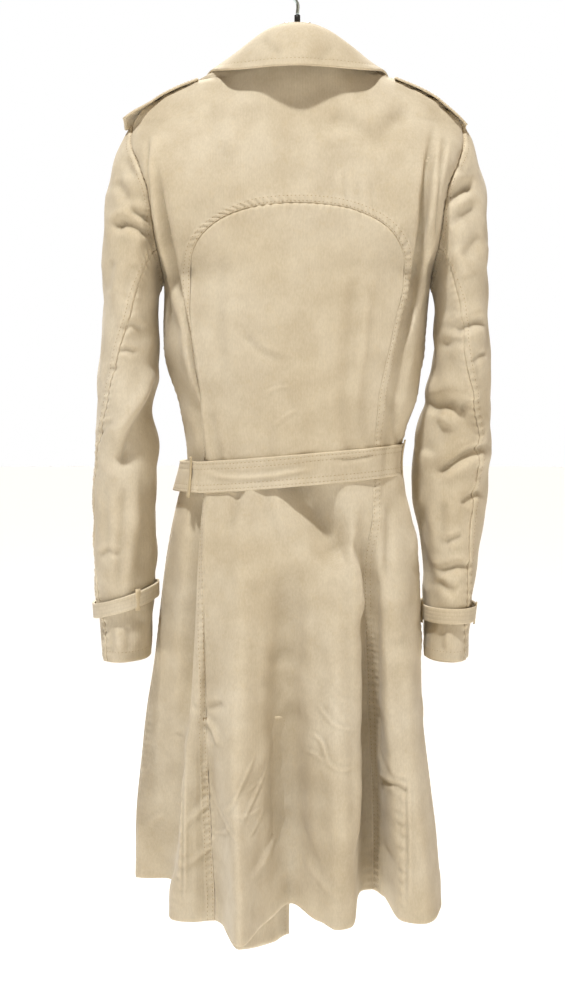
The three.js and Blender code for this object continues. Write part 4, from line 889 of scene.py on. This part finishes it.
def frontGrid(right):
    sign = 1 if right else -1
    side = 0 if right else frontLast
    s = np.linspace(0, 1, frontBuild["columns"] + 1)
    z = np.linspace(coat["hemZ"], coat["breakZ"], frontBuild["lowRows"] + 1)
    edge = alongAt("front", sign * rollX(z), z, 0, frontLast)
    low = face("front", mix(side, edge[:, None], s), z[:, None] + 0 * s)
    up = np.linspace(0, 1, frontBuild["highRows"] + 1)[1:, None]
    up = 1 - (1 - up) ** 1.6
    topX = sign * mix(coat["shoulderHalfWidth"], coat["neckHalfWidth"], s)
    topAlong = alongAt("front", topX, topZ(topX), 0, frontLast)
    neckAlong = alongAt("front", sign * coat["neckHalfWidth"], coat["neckZ"], 0, frontLast)
    edgeZ = mix(coat["breakZ"], coat["neckZ"], up)
    bow = alongAt("front", sign * rollX(edgeZ), edgeZ, 0, frontLast) - mix(edge[-1], neckAlong, up)
    high = face("front", mix(mix(side, edge[-1], s), topAlong, up) + s * bow, mix(coat["breakZ"], topZ(topX), up))
    grid = np.concatenate([low, high])
    if not right:
        x, z = grid[..., 0], grid[..., 2]
        under = coat["lapLift"] * ease((x + 122) / 34) * ease((-200 - z) / 45)
        grid = grid - gridNormals(grid, -1)[..., :] * under[..., None]
    return grid


def lapelGrid(right):
    sign = 1 if right else -1
    t = np.linspace(0, 1, lapel["rows"] + 1)[:, None]
    w = np.linspace(0, 1, lapel["columns"] + 1)[None, :]
    rollZ = mix(coat["breakZ"] + (8 if right else 30), lapel["topZ"], t)
    roll = rollX(rollZ) + 2 if right else np.maximum(rollX(rollZ), -rollX(rollZ)) + 4
    rising = np.minimum(t / lapel["pointAt"], 1) ** 0.9
    falling = 1 - lapel["notch"] * (t - lapel["pointAt"]) / (1 - lapel["pointAt"])
    shape = np.where(t < lapel["pointAt"], rising, falling)
    x = sign * (roll + w * lapel["width"] * np.maximum(shape, 0.03))
    z = rollZ - w * lapel["drop"] * shape
    grid = face("front", alongAt("front", x, z, 0, frontLast), z)
    outward = 1 if right else -1
    swell = lapel["lift"] + coat["doubled"] + 2.5 * np.sin(np.pi * np.clip(w * 1.15, 0, 1)) ** 1.5 * ease(t / 0.3)
    return grid + gridNormals(grid, -outward) * swell[..., None]


def buildFronts():
    for side, right in (("right", True), ("left", False)):
        grid = frontGrid(right)
        outward = 1 if right else -1
        relief = (seamRelief(grid, "first", pucker=0.4, seed=21) + seamRelief(grid, "top", pucker=0.3, seed=22)
                  + creaseRelief(grid, frontCreases) + frontBuild["sway"] * unevenness(grid, 70, 23))
        addPanel("front_" + side, grid, outward, relief * sewnTo(grid, "first"), coat["cloth"])
        addStitches("front_stitches", lineBeside("front_" + side, "last", frontBuild["edgeStitch"], 0, 0.68))
        grid = lapelGrid(right)
        addPanel("lapel_" + side, grid, -outward, 0.4 * unevenness(grid, 50, 31), coat["doubled"])
        addStitches("front_stitches", lineBeside("lapel_" + side, "last", 7))


# Collar: a fall with a rolled fold over its stand; rows from the centre back to the right front
collar = named("foldX foldY foldZ edgeX edgeY edgeZ bulge", [
    (0, -42, -79, 0, -78, -131, 8), (28, -38, -83, 40, -66, -131, 7), (50, -27, -97, 78, -50, -130, 5),
    (69, -2, -109, 99, -4, -123, 2), (66, 36, -126, 107, 36, -135, 4), (47, 67, -165, 103, 72, -188, 3),
])
collarBuild = {"columns": 150, "rows": 26, "rollRows": 6, "rollRadius": 3.0, "topstitch": 8.5}
collarCreases = [
    (-1.5, 6, 0.8, [(-39, -96), (-30, -110), (-15, -120)]),
    (-1.2, 6, 0.6, [(40, -105), (31, -116), (22, -127)]),
]


def collarValue(at, column):
    values = collar[column]
    mirrored = -1 if column.endswith("X") else 1
    row = np.concatenate([[mirrored * values[1]], values, [values[-1]]])
    s = np.abs(at) * 5
    i = np.clip(np.floor(s), 0, 4).astype(int)
    t = s - i
    p0, p1, p2, p3 = (row[i + k] for k in range(4))
    return 0.5 * (2 * p1 + (p2 - p0) * t + (2 * p0 - 5 * p1 + 4 * p2 - p3) * t**2 + (3 * p1 - p0 - 3 * p2 + p3) * t**3)


def collarPoint(at, down):
    sign = np.where(at < 0, -1.0, 1.0)
    fold = np.stack([sign * collarValue(at, "foldX"), collarValue(at, "foldY"), collarValue(at, "foldZ")], -1)
    edge = np.stack([sign * collarValue(at, "edgeX"), collarValue(at, "edgeY"), collarValue(at, "edgeZ")], -1)
    outward = unit((edge - fold) * np.array([1, 1, 0]))
    swell = (collarValue(at, "bulge") * np.sin(np.pi * np.clip(down, 0, 1) ** 0.6))[..., None]
    return mix(fold, edge, down[..., None]) + outward * swell + np.array([0, 0, 0.5]) * swell, outward


def buildCollar():
    at = np.linspace(-1, 1, collarBuild["columns"] + 1)[None, :]
    down = np.linspace(0, 1, collarBuild["rows"] + 1)[:, None]
    at2, down2 = np.broadcast_arrays(at, down)
    fall, outward = collarPoint(at2, down2)
    turn = np.linspace(math.radians(150), 0, collarBuild["rollRows"], endpoint=False)[:, None, None]
    inward = outward[0] * (np.cos(turn) - 1) * collarBuild["rollRadius"]
    lift = np.array([0, 0, 1]) * np.sin(turn) * collarBuild["rollRadius"] * 0.8
    grid = np.concatenate([fall[0] + inward + lift, fall])[::-1]
    relief = creaseRelief(grid, collarCreases) + 0.35 * unevenness(grid, 45, 41)
    away, _ = edgeMeasure(grid, "bottom")
    relief += 0.35 * np.exp(-((away - 3.5) / 4) ** 2) - 0.3 * np.exp(-((away - collarBuild["topstitch"]) / 1.5) ** 2)
    addPanel("collar_fall", grid, 1, relief, coat["doubled"])
    addStitches("collar_stitches", lineBeside("collar_fall", "bottom", collarBuild["topstitch"]))
    addStitches("collar_stitches", lineBeside("collar_fall", "first", 7, 0, 0.8))
    addStitches("collar_stitches", lineBeside("collar_fall", "last", 7, 0, 0.8))
    s = np.linspace(0, 1, 73)[None, :]
    up = np.linspace(0, 1, 13)[:, None]
    x = -coat["neckHalfWidth"] * np.cos(np.pi * s)
    foot = face("back", alongAt("back", x, coat["shoulderPointZ"], 0, backLast), topZ(x)) + np.array([0, 0, 0.9])
    head, _ = collarPoint((2 * s - 1) * 0.66, 0 * s)
    head = head * np.array([0.94, 1, 1]) + np.array([0, 4, -1.5])
    grid = mix(foot, head, up[..., None])
    addPanel("collar_stand", grid, 1, 0.2 * unevenness(grid, 30, 43), coat["cloth"], finish="trim")


buildFronts()
buildCollar()
print("fronts and collar built")

# Sleeves: an upper and an under panel round each arm, from the armhole down to the cuff
sleeveRings = {
    "left": named("z outer inner middle depth seam", [
        (-395, 222, 159, 4, 66, 0.285), (-445, 226, 160, 4, 66, 0.22), (-492, 229, 160, 2, 64, 0.17),
        (-540, 232, 162, 2, 63, 0.13), (-600, 235, 163, 6, 61, 0.075), (-660, 235, 165, 12, 60, 0.05),
        (-715, 233, 167, 16, 58, 0.11), (-760, 230, 169, 18, 57, 0.14), (-790, 228, 172, 18, 56, 0.15)]),
    "right": named("z outer inner middle depth seam", [
        (-395, 217, 158, 4, 66, 0.29), (-445, 221, 156, 6, 66, 0.265), (-492, 223, 148, 14, 62, 0.2),
        (-540, 226, 137, 22, 58, 0.16), (-600, 221, 135, 26, 56, 0.16), (-660, 214, 145, 26, 56, 0.17),
        (-715, 206, 149, 22, 56, 0.16), (-760, 201, 149, 20, 56, 0.14), (-790, 200, 150, 20, 56, 0.135)]),
}
sleeve = {"capOuter": 13, "capBack": 4, "frontSeam": 0.3, "firstZ": -395, "lastZ": -790, "downStep": 100,
          "capRows": 90, "freeRows": 180, "upperColumns": 80, "underColumns": 60, "closedBy": 0.06,
          "backSeamAtTop": 0.344, "sway": 1.3, "band": 7.0}
sleeveCreases = {
    "left": [
        (-7, 6, 3.5, [(-205, -306), (-191, -298), (-174, -304), (-160, -312)]),
        (-6.5, 5, 3.5, [(-186, -283), (-173, -290), (-160, -296)]),
        (-4, 6, 2, [(-204, -246), (-195, -259), (-184, -274)]),
        (-3, 5, 1.5, [(-193, -220), (-187, -234), (-176, -248)]),
        (-2.5, 6, 1.2, [(-204, -335), (-209, -354), (-211, -375)]),
        (-2.5, 7, 1.2, [(-178, -340), (-188, -365), (-191, -387)]),
        (7, 9, 0, [(-162, -450), (-165, -470), (-174, -490), (-188, -512), (-206, -539)]),
        (-13, 11, 1.5, [(-153, -454), (-156, -483), (-163, -503), (-174, -523), (-190, -548),
            (-208, -572)]),
        (-2, 3.5, 1, [(-195, -417), (-184, -409), (-169, -416)]),
        (-1.8, 3, 1, [(-199, -439), (-188, -437), (-176, -441)]),
        (-2, 4, 1, [(-216, -475), (-209, -461), (-197, -454)]),
        (-2, 4, 1, [(-223, -537), (-214, -523), (-201, -514)]),
        (-3, 6, 1.5, [(-191, -579), (-194, -626), (-199, -671), (-203, -714)]),
        (-3, 6, 1.5, [(-174, -561), (-172, -604), (-174, -649), (-180, -699)]),
        (-2, 5, 1, [(-214, -579), (-215, -626), (-213, -682)]),
        (-2, 4, 1, [(-224, -671), (-212, -662), (-198, -667)]),
        (-2, 4, 1, [(-211, -750), (-209, -764), (-211, -782)]),
        (-2, 4.5, 1, [(-193, -746), (-191, -762), (-192, -780)]),
    ],
    "right": [
        (-8, 7, 4.5, [(164, -275), (175, -265), (186, -257), (200, -252)]),
        (-4, 8, 2, [(168, -303), (183, -288), (203, -275)]),
        (-3, 5, 1.5, [(173, -231), (182, -239), (194, -241)]),
        (2.5, 10, 0, [(169, -324), (181, -340), (191, -359)]),
        (-3, 7, 1.2, [(203, -308), (192, -326), (179, -336)]),
        (-5.5, 6.5, 2.5, [(170, -420), (184, -411), (197, -406), (212, -403)]),
        (-2.5, 5.5, 1.2, [(160, -433), (175, -427), (190, -427)]),
        (-2.5, 4, 1.5, [(211, -439), (201, -443), (192, -452)]),
        (-6, 6, 3.5, [(220, -538), (207, -547), (194, -551), (179, -560), (166, -569), (153, -581)]),
        (-9, 10, 3, [(146, -503), (163, -497), (180, -498), (194, -507)]),
        (-5, 12, 1.5, [(168, -516), (157, -532), (146, -556)]),
        (-3.5, 5, 2, [(213, -595), (198, -600), (184, -612)]),
        (-4, 5, 2.5, [(158, -690), (170, -684), (185, -680), (198, -684)]),
        (-3, 5, 2, [(157, -697), (168, -705), (182, -710)]),
        (-2.5, 4, 1.5, [(167, -657), (176, -650), (189, -646)]),
        (-3, 6, 1.5, [(148, -595), (145, -637), (148, -677), (149, -714)]),
        (-2.5, 6, 1.2, [(166, -604), (164, -637), (168, -667)]),
        (-2.2, 4.5, 1, [(166, -750), (164, -764), (165, -780)]),
        (-2, 4.5, 1, [(149, -748), (147, -762), (150, -778)]),
    ],
}
signOf = {"left": -1, "right": 1}


def armhole(side, turn):
    t = turn - np.floor(turn)
    z = mix(coat["shoulderPointZ"], coat["underarmZ"], (1 - np.cos(2 * np.pi * t)) / 2)
    left = side == "left"
    back = face("back", np.full(t.shape, 0 if left else backLast), z)
    front = face("front", np.full(t.shape, frontLast if left else 0), z)
    return np.where((t <= 0.5)[..., None], back, front)


def sleevePoint(side, down, turn):
    down, turn = np.broadcast_arrays(np.asarray(down, float), np.asarray(turn, float))
    rings = sleeveRings[side]
    z = sleeve["firstZ"] - np.maximum(down - 1, 0) * sleeve["downStep"]
    outer, inner = atHeight(rings, "outer", z), atHeight(rings, "inner", z)
    cosine, sine = np.cos(2 * np.pi * turn), np.sin(2 * np.pi * turn)
    x = signOf[side] * ((outer + inner) / 2 + (outer - inner) / 2 * cosine)
    y = atHeight(rings, "middle", z) - atHeight(rings, "depth", z) * sine
    ring = np.stack([x, y, z], -1)
    d = np.clip(down, 0, 1)
    swell = np.sin(np.pi * d**0.6) ** 1.3
    bulge = np.stack([signOf[side] * sleeve["capOuter"] * swell * np.maximum(0, cosine),
                      -sleeve["capBack"] * swell * sine, 0 * swell], -1)
    gap = signOf[side] * coat["armholeGap"] * ease(down / sleeve["closedBy"])
    start = armhole(side, turn) + gap[..., None] * np.array([1, 0, 0])
    cap = mix(start, ring, np.stack([1 - (1 - d) ** 1.35, 1 - (1 - d) ** 1.35, d], -1)) + bulge
    return np.where((down >= 1)[..., None], ring, cap)


def backSeamTurn(side, down):
    seam = atHeight(sleeveRings[side], "seam", sleeve["firstZ"] - np.maximum(down - 1, 0) * sleeve["downStep"])
    return np.where(down < 1, mix(sleeve["backSeamAtTop"], sleeveRings[side]["seam"][0], down), seam)


def sleeveDowns():
    low = np.linspace(1, 1 + (sleeve["firstZ"] - sleeve["lastZ"]) / sleeve["downStep"], sleeve["freeRows"] + 1)
    return np.concatenate([np.linspace(0, 1, sleeve["capRows"], endpoint=False), low])[:, None]


# Creases of a sleeve lie on its back half, and softer on its front half
def sleeveRelief(side, grid, normals):
    facing = ease(-normals[..., 1] * 3 + 0.5)
    return creaseRelief(grid, sleeveCreases[side]) * mix(0.45, 1, facing) + sleeve["sway"] * unevenness(grid, 48, 51)


def buildSleeves():
    downs = sleeveDowns()
    for side in ("left", "right"):
        seam = backSeamTurn(side, downs)
        outward = -1 if side == "left" else 1
        for part, columns in (("upper", sleeve["upperColumns"]), ("under", sleeve["underColumns"])):
            s = np.linspace(0, 1, columns + 1)[None, :]
            turn = mix(-sleeve["frontSeam"], seam, s) if part == "upper" else mix(seam, 1 - sleeve["frontSeam"], s)
            grid = sleevePoint(side, downs, turn)
            relief = sleeveRelief(side, grid, gridNormals(grid, outward))
            backEdge, frontEdge = ("last", "first") if part == "upper" else ("first", "last")
            band = sleeve["band"] if part == "upper" else 0
            relief = relief + seamRelief(grid, backEdge, band=band, pucker=0.8, wave=10, reach=7, seed=53)
            relief = relief + seamRelief(grid, frontEdge, pucker=0.25, seed=54)
            relief = relief + seamRelief(grid, "bottom", band=7, pucker=0.8, wave=10, reach=7, seed=55)
            name = "sleeve_%s_%s" % (side, part)
            addPanel(name, grid, outward, relief * sewnTo(grid, "bottom"), coat["cloth"])
            if part == "upper":
                addStitches("sleeve_stitches", lineBeside(name, "last", sleeve["band"] - 0.5))
            addStitches("sleeve_stitches", lineBeside(name, "bottom", 1.6))
            addStitches("sleeve_stitches", lineBeside(name, "bottom", 8.0))
            addStitches("sleeve_stitches", lineBeside(name, "top", 12.0))


buildSleeves()
print("sleeves built")

# Cuff straps and their loops
cuffStraps = {"left": {"down": 4.4, "slant": 0.12, "loops": (0.33, 0.78)},
              "right": {"down": 4.42, "slant": 0, "loops": (0.45, 0.07)}}
strapBuild = {"width": 17, "lift": 1.0, "turns": 132, "rows": 24, "stitchRows": (2.2, 6.4, 10.6, 14.8)}
loopBuild = {"thick": 1.2, "lift": 0.7, "cuffReach": 0.25, "cuffTurn": 0.011, "beltTurn": 0.06}


def strapDown(side, turn):
    strap = cuffStraps[side]
    return strap["down"] - strap["slant"] * (1 - np.cos(2 * np.pi * turn))


def sleeveOut(side, down, turn, out):
    across = sleevePoint(side, down, turn + 0.004) - sleevePoint(side, down, turn - 0.004)
    along = sleevePoint(side, down + 0.02, turn) - sleevePoint(side, down - 0.02, turn)
    normal = unit(np.cross(along, across)) * -signOf[side]
    return sleevePoint(side, down, turn) + normal * out


def buildCuffs():
    for side in ("left", "right"):
        outward = 1 if side == "left" else -1
        turn = np.linspace(0, 1, strapBuild["turns"], endpoint=False)[None, :]
        across = np.linspace(0.5, -0.5, strapBuild["rows"] + 1)[:, None] * strapBuild["width"] / sleeve["downStep"]
        grid = sleeveOut(side, strapDown(side, turn) + across, turn, strapBuild["lift"] + coat["doubled"])
        away, _ = edgeMeasure(grid, "bottom")
        relief = 0.3 * unevenness(grid, 30, 61)
        for distance in strapBuild["stitchRows"]:
            relief = relief - 0.45 * np.exp(-((away - distance) / 1.1) ** 2)
        name = "cuff_strap_" + side
        addPanel(name, grid, -outward, relief, coat["doubled"], ring=True)
        for distance in strapBuild["stitchRows"]:
            addStitches("cuff_stitches", lineBeside(name, "bottom", distance))
        for k, middle in enumerate(cuffStraps[side]["loops"]):
            v = np.linspace(0.5, -0.5, 13)[:, None]
            w = np.linspace(-1, 1, 7)[None, :]
            down = strapDown(side, np.array(middle)) + v * loopBuild["cuffReach"] + 0 * w
            arch = loopBuild["lift"] + loopBuild["thick"] - 0.5 * w**2
            out = strapBuild["lift"] + coat["doubled"] + arch[..., None] + 0 * down[..., None]
            grid = sleeveOut(side, down, middle + w * loopBuild["cuffTurn"] + 0 * v, out)
            addPanel("cuff_loop_%s_%d" % (side, k + 1), grid, -outward, np.zeros(down.shape), loopBuild["thick"], "trim")


# Belt: once round the waist and over its own start in front; the cloth shows a crease along its left half
belt = {"width": 35, "middleZ": -569, "slope": 0.085, "lift": 0.8, "slack": 6, "slackReach": 1.3, "lapGap": 0.5,
        "steps": 460, "rows": 22, "stitchRows": (3.0, 8.5, 26.5, 32.0)}
beltStart = -frontLast / 2 - 0.6
beltEnd = backLast + frontLast / 2 + 1.4


def waistFace(around, z):
    whole = backLast + frontLast
    u = around % whole
    onBack = (u <= backLast)[..., None]
    return np.where(onBack, face("back", np.minimum(u, backLast), z), face("front", np.maximum(u - backLast, 0), z))


def beltPlace(around, across, lift):
    around, across, lift = np.broadcast_arrays(around, across, lift)
    middle = belt["middleZ"] + belt["slope"] * waistFace(around, np.full(around.shape, belt["middleZ"]))[..., 0]
    z = middle + across * belt["width"]
    here = waistFace(around, z)
    side = waistFace(around + 0.02, z) - waistFace(around - 0.02, z)
    normal = unit(np.cross(side, here - waistFace(around, z - 2)))
    return here + normal * lift[..., None]


def beltLift(around):
    slack = belt["slack"] * np.exp(-(around / belt["slackReach"]) ** 2)
    over = (coat["doubled"] + belt["lapGap"]) * ease((around - (beltStart + backLast + frontLast) + 0.7) / 0.6)
    return belt["lift"] + slack + over


beltCreases = [
    (1.8, 3, -1, [(-107, -570), (-87, -576), (-70, -577), (-34, -575), (-2, -570), (26, -567)]),
    (-1.2, 2.5, 0.6, [(35, -559), (59, -557), (87, -553)]),
    (-1.2, 3, 0.6, [(-122, -566), (-118, -574), (-121, -583)]),
]


def buildBelt():
    around = np.linspace(beltStart, beltEnd, belt["steps"] + 1)[None, :]
    across = np.linspace(-0.5, 0.5, belt["rows"] + 1)[:, None]
    grid = beltPlace(around, across, beltLift(around) + coat["doubled"])
    away, _ = edgeMeasure(grid, "bottom")
    relief = creaseRelief(grid, beltCreases) * (grid[..., 1] < 0) + 0.35 * unevenness(grid, 40, 71)
    for distance in belt["stitchRows"]:
        relief = relief - 0.3 * np.exp(-((away - distance) / 1.2) ** 2)
    addPanel("belt", grid, 1, relief, coat["doubled"])
    for distance in belt["stitchRows"]:
        addStitches("belt_stitches", lineBeside("belt", "bottom", distance))
    for side, x in (("left", -112), ("right", 115)):
        middle = alongAt("back", x, belt["middleZ"], 0, backLast)
        reach = np.linspace(-0.66, 0.66, 25)[:, None]
        u = np.linspace(-1, 1, 7)[None, :]
        lift = beltLift(middle) + coat["doubled"] + loopBuild["lift"] + loopBuild["thick"] - 0.4 * u**2 + 0 * reach
        grid = beltPlace(middle + u * loopBuild["beltTurn"], reach, lift)
        addPanel("belt_loop_" + side, grid, 1, np.zeros(lift.shape), loopBuild["thick"], "trim")


# Shoulder straps: they follow the shoulder and their free ends stand off the sleeve head
shoulderStraps = {"left": {"from": -112, "to": -197, "neckLift": 2.0, "endZ": -172, "halfWidth": 20,
                           "tilt": 9},
                  "right": {"from": 110, "to": 192, "neckLift": 2.7, "endZ": -179, "halfWidth": 19,
                            "tilt": 3}}
epaulette = {"bend": 0.6, "lift": 2.7, "drape": 3.6, "inset": 9, "rows": 60, "columns": 26}


def buildShoulderStraps():
    for side, strap in shoulderStraps.items():
        s = np.linspace(0, 1, epaulette["rows"] + 1)[:, None]
        w = np.linspace(-1, 1, epaulette["columns"] + 1)[None, :]
        start, end, bend = strap["from"], strap["to"], epaulette["bend"]
        lying = topZ(mix(start, end, s)) + mix(strap["neckLift"], epaulette["lift"], s / bend)
        free = mix(topZ(mix(start, end, bend)) + epaulette["lift"], strap["endZ"], (s - bend) / (1 - bend))
        inset = epaulette["inset"] * np.maximum(0, (s - 0.8) / 0.2) ** 2
        z = np.where(s < bend, lying, free) - epaulette["drape"] * w * w
        z = z - strap["tilt"] * (w + 1) / 2 * ease((s - 0.35) / 0.65)  # the front edge droops at the free end
        grid = np.stack(np.broadcast_arrays(mix(start, end, s), w * (strap["halfWidth"] - inset), z), -1)
        outward = 1 if side == "left" else -1
        name = "epaulette_" + side
        addPanel(name, grid, outward, 0.25 * unevenness(grid, 30, 81), coat["doubled"])
        for edge in ("first", "last"):
            addStitches("shoulder_stitches", lineBeside(name, edge, 5))


buildCuffs()
buildBelt()
buildShoulderStraps()
print("straps and belt built")


# A body turned from a profile of (radius, height), round an axis at a place
def turned(profile, place, axis, count=48):
    axis = unit(np.array(axis, float))
    side = unit(np.cross(axis, [0, 0, 1] if abs(axis[2]) < 0.9 else [1, 0, 0]))
    other = np.cross(axis, side)
    angle = np.linspace(0, 2 * np.pi, count, endpoint=False)[None, :, None]
    radius = np.array([p[0] for p in profile], float)[:, None, None]
    height = np.array([p[1] for p in profile], float)[:, None, None]
    rings = np.array(place) + radius * (np.cos(angle) * side + np.sin(angle) * other) + height * axis
    i, j = np.meshgrid(np.arange(len(profile) - 1), np.arange(count), indexing="ij")
    a, b = i * count + j, i * count + (j + 1) % count
    return rings.reshape(-1, 3), np.stack([a, b, b + count, a + count], -1).reshape(-1, 4)


def closeEnds(faces, rings, count):
    loops = [list(range(count))[::-1], [(rings - 1) * count + k for k in range(count)]]
    return [list(f) for f in faces] + loops


# Buttons: a dished face with a raised rim, and thread across four hole places
button = {"x": 46, "heights": (-430, -500, -660), "radius": 11, "lift": 0.4, "holeAt": 2.6, "holeRadius": 0.9}


def buildButtons():
    profile = [(0.8, 0), (0.97, 0.04), (1, 0.12), (1, 0.24), (0.97, 0.32), (0.9, 0.35), (0.83, 0.34), (0.76, 0.26),
               (0.68, 0.235), (0.3, 0.22), (0.02, 0.22)]
    profile = [(r * button["radius"], h * button["radius"]) for r, h in profile]
    for row, z in enumerate(button["heights"]):
        for column, x in enumerate((-button["x"], button["x"])):
            name = "button_%d" % (row * 2 + column + 1)
            along = alongAt("front", x, z, 0, frontLast)
            near = face("front", np.array([along - 0.02, along + 0.02]), np.array([z, z]))
            here, below = face("front", np.array([along, along]), np.array([z, z - 2.0]))
            axis = unit(np.cross(near[1] - near[0], here - below))
            points, faces = turned(profile, here + axis * button["lift"], axis)
            newPiece(name + "_resin", points, closeEnds(faces, len(profile), 48), "horn", [name])
            side = unit(np.cross(axis, [0, 0, 1]))
            up = np.cross(side, axis)
            top = here + axis * (button["lift"] + 0.235 * button["radius"])
            for a in (-1, 1):
                start = top + (a * side - up) * button["holeAt"]
                end = top + (a * side + up) * button["holeAt"]
                line = np.linspace(start, end, 4) + axis * 0.25
                addStitches("button_threads", (line, np.repeat(axis[None], 4, 0)), pitch=5.0)


# Buckle: a rounded resin frame
buckle = {"x": 24, "z": 27, "bar": 6, "thick": 3, "off": 0.8 + 2 * 2.4 + 2.2, "corner": 5, "rounding": 1.2}


def roundedLoop(x, z, corner, steps=8):
    places = []
    for cx, cz, start in ((x - corner, z - corner, 0), (corner - x, z - corner, 90), (corner - x, corner - z, 180),
                          (x - corner, corner - z, 270)):
        for k in range(steps + 1):
            angle = math.radians(start + 90 * k / steps)
            places.append((cx + corner * math.cos(angle), cz + corner * math.sin(angle)))
    return np.array(places)


def buildBuckle():
    middleZ = belt["middleZ"]
    along = alongAt("front", 0, middleZ, 0, frontLast)
    near = face("front", np.array([along - 0.02, along + 0.02]), np.array([middleZ, middleZ]))
    here, below = face("front", np.array([along, along]), np.array([middleZ, middleZ - 2.0]))
    centre = here + unit(np.cross(near[1] - near[0], here - below)) * (buckle["off"] + buckle["thick"])
    bar, thick, r = buckle["bar"], buckle["thick"], buckle["rounding"]
    section = [(r, 0), (bar - r, 0), (bar, r), (bar, thick - r), (bar - r, thick), (r, thick), (0, thick - r), (0, r)]
    loops = []
    for inset, height in section:
        ring = roundedLoop(buckle["x"] - inset, buckle["z"] - inset, max(buckle["corner"] - inset, 1.2))
        loops.append(np.stack([ring[:, 0], np.full(len(ring), -height), ring[:, 1]], -1) + centre)
    loops = np.array(loops)
    count, steps = loops.shape[0], loops.shape[1]
    i, j = np.meshgrid(np.arange(count), np.arange(steps), indexing="ij")
    a, b = i * steps + j, i * steps + (j + 1) % steps
    c, d = ((i + 1) % count) * steps + (j + 1) % steps, ((i + 1) % count) * steps + j
    faces = np.stack([a, b, c, d], -1).reshape(-1, 4)
    newPiece("belt_buckle_resin", loops.reshape(-1, 3), faces, "horn", ["belt_buckle"])


# Hanger: arms, a ferrule and a hook of wire
hanger = {"halfWidth": 148, "thick": 14, "height": 20, "clear": 5, "neckHalfWidth": 15, "ferruleZ": (-67, -59),
          "ferruleRadius": 3.3, "wire": 3.6, "bend": 20, "stemTopZ": -46, "gap": 0.3}


def buildHanger():
    x = np.linspace(-hanger["halfWidth"], hanger["halfWidth"], 121)
    r = np.abs(x)
    slope = np.maximum(0, coat["neckHalfWidth"] - r) * 0.32
    arm = topZ(np.maximum(r, coat["neckHalfWidth"])) + slope
    under = arm - hanger["clear"] - hanger["height"]
    upper = np.minimum(np.where(r < hanger["neckHalfWidth"], 0, arm - hanger["clear"]), hanger["ferruleZ"][0] - hanger["gap"])
    angle = np.linspace(0, 2 * np.pi, 24, endpoint=False)[None, :]
    middle, half = (upper + under)[:, None] / 2, (upper - under)[:, None] / 2
    squareCos = np.sign(np.cos(angle)) * np.abs(np.cos(angle)) ** 0.6
    squareSin = np.sign(np.sin(angle)) * np.abs(np.sin(angle)) ** 0.6
    end = np.sqrt(np.clip(1 - (np.maximum(0, r - hanger["halfWidth"] + 6) / 6) ** 2, 0.05, 1))[:, None]
    grid = np.stack(np.broadcast_arrays(x[:, None], hanger["thick"] / 2 * squareCos * end, middle + half * squareSin * end), -1)
    rings, count = grid.shape[:2]
    i, j = np.meshgrid(np.arange(rings - 1), np.arange(count), indexing="ij")
    a, b = i * count + j, i * count + (j + 1) % count
    faces = np.stack([a, a + count, b + count, b], -1).reshape(-1, 4)
    newPiece("hanger_arms", grid.reshape(-1, 3), [f[::-1] for f in closeEnds(faces[:, ::-1], rings, count)], "hanger",
             ["hanger_body"])
    low, high = hanger["ferruleZ"]
    radius = hanger["ferruleRadius"]
    profile = [(radius - 0.5, 0), (radius, 0.5), (radius, high - low - 0.6), (radius - 0.6, high - low)]
    points, faces = turned(profile, (0, 0, low), (0, 0, 1), 32)
    newPiece("hanger_collar", points, closeEnds(faces, len(profile), 32), "ferrule", ["hanger_ferrule"])
    angles = np.radians(np.linspace(235, -20, 40))
    centreZ = hanger["wire"] / 2 - hanger["bend"]
    arc = np.stack([hanger["bend"] * np.cos(angles), centreZ + hanger["bend"] * np.sin(angles)], -1)
    coarse = [(0, high + hanger["gap"]), (0, hanger["stemTopZ"]), *[tuple(p) for p in arc[::3]]]
    path = smoothPath(coarse, 8)
    direction = unit(np.gradient(path, axis=0))
    side = np.stack([direction[:, 1], 0 * direction[:, 0], -direction[:, 0]], -1)
    turn = np.linspace(0, 2 * np.pi, 16, endpoint=False)
    centre = np.stack([path[:, 0], 0 * path[:, 0], path[:, 1]], -1)
    rings = (centre[:, None] + hanger["wire"] / 2 * (np.cos(turn)[None, :, None] * side[:, None]
             + np.sin(turn)[None, :, None] * np.array([0, 1, 0])))
    i, j = np.meshgrid(np.arange(len(path) - 1), np.arange(16), indexing="ij")
    a, b = i * 16 + j, i * 16 + (j + 1) % 16
    faces = np.stack([a, b, b + 16, a + 16], -1).reshape(-1, 4)
    newPiece("hanger_wire", rings.reshape(-1, 3), closeEnds(faces, len(path), 16), "steel", ["hanger_hook"])


buildButtons()
buildBuckle()
buildHanger()
makeStitches()
print("buttons, buckle, hanger and stitches built")
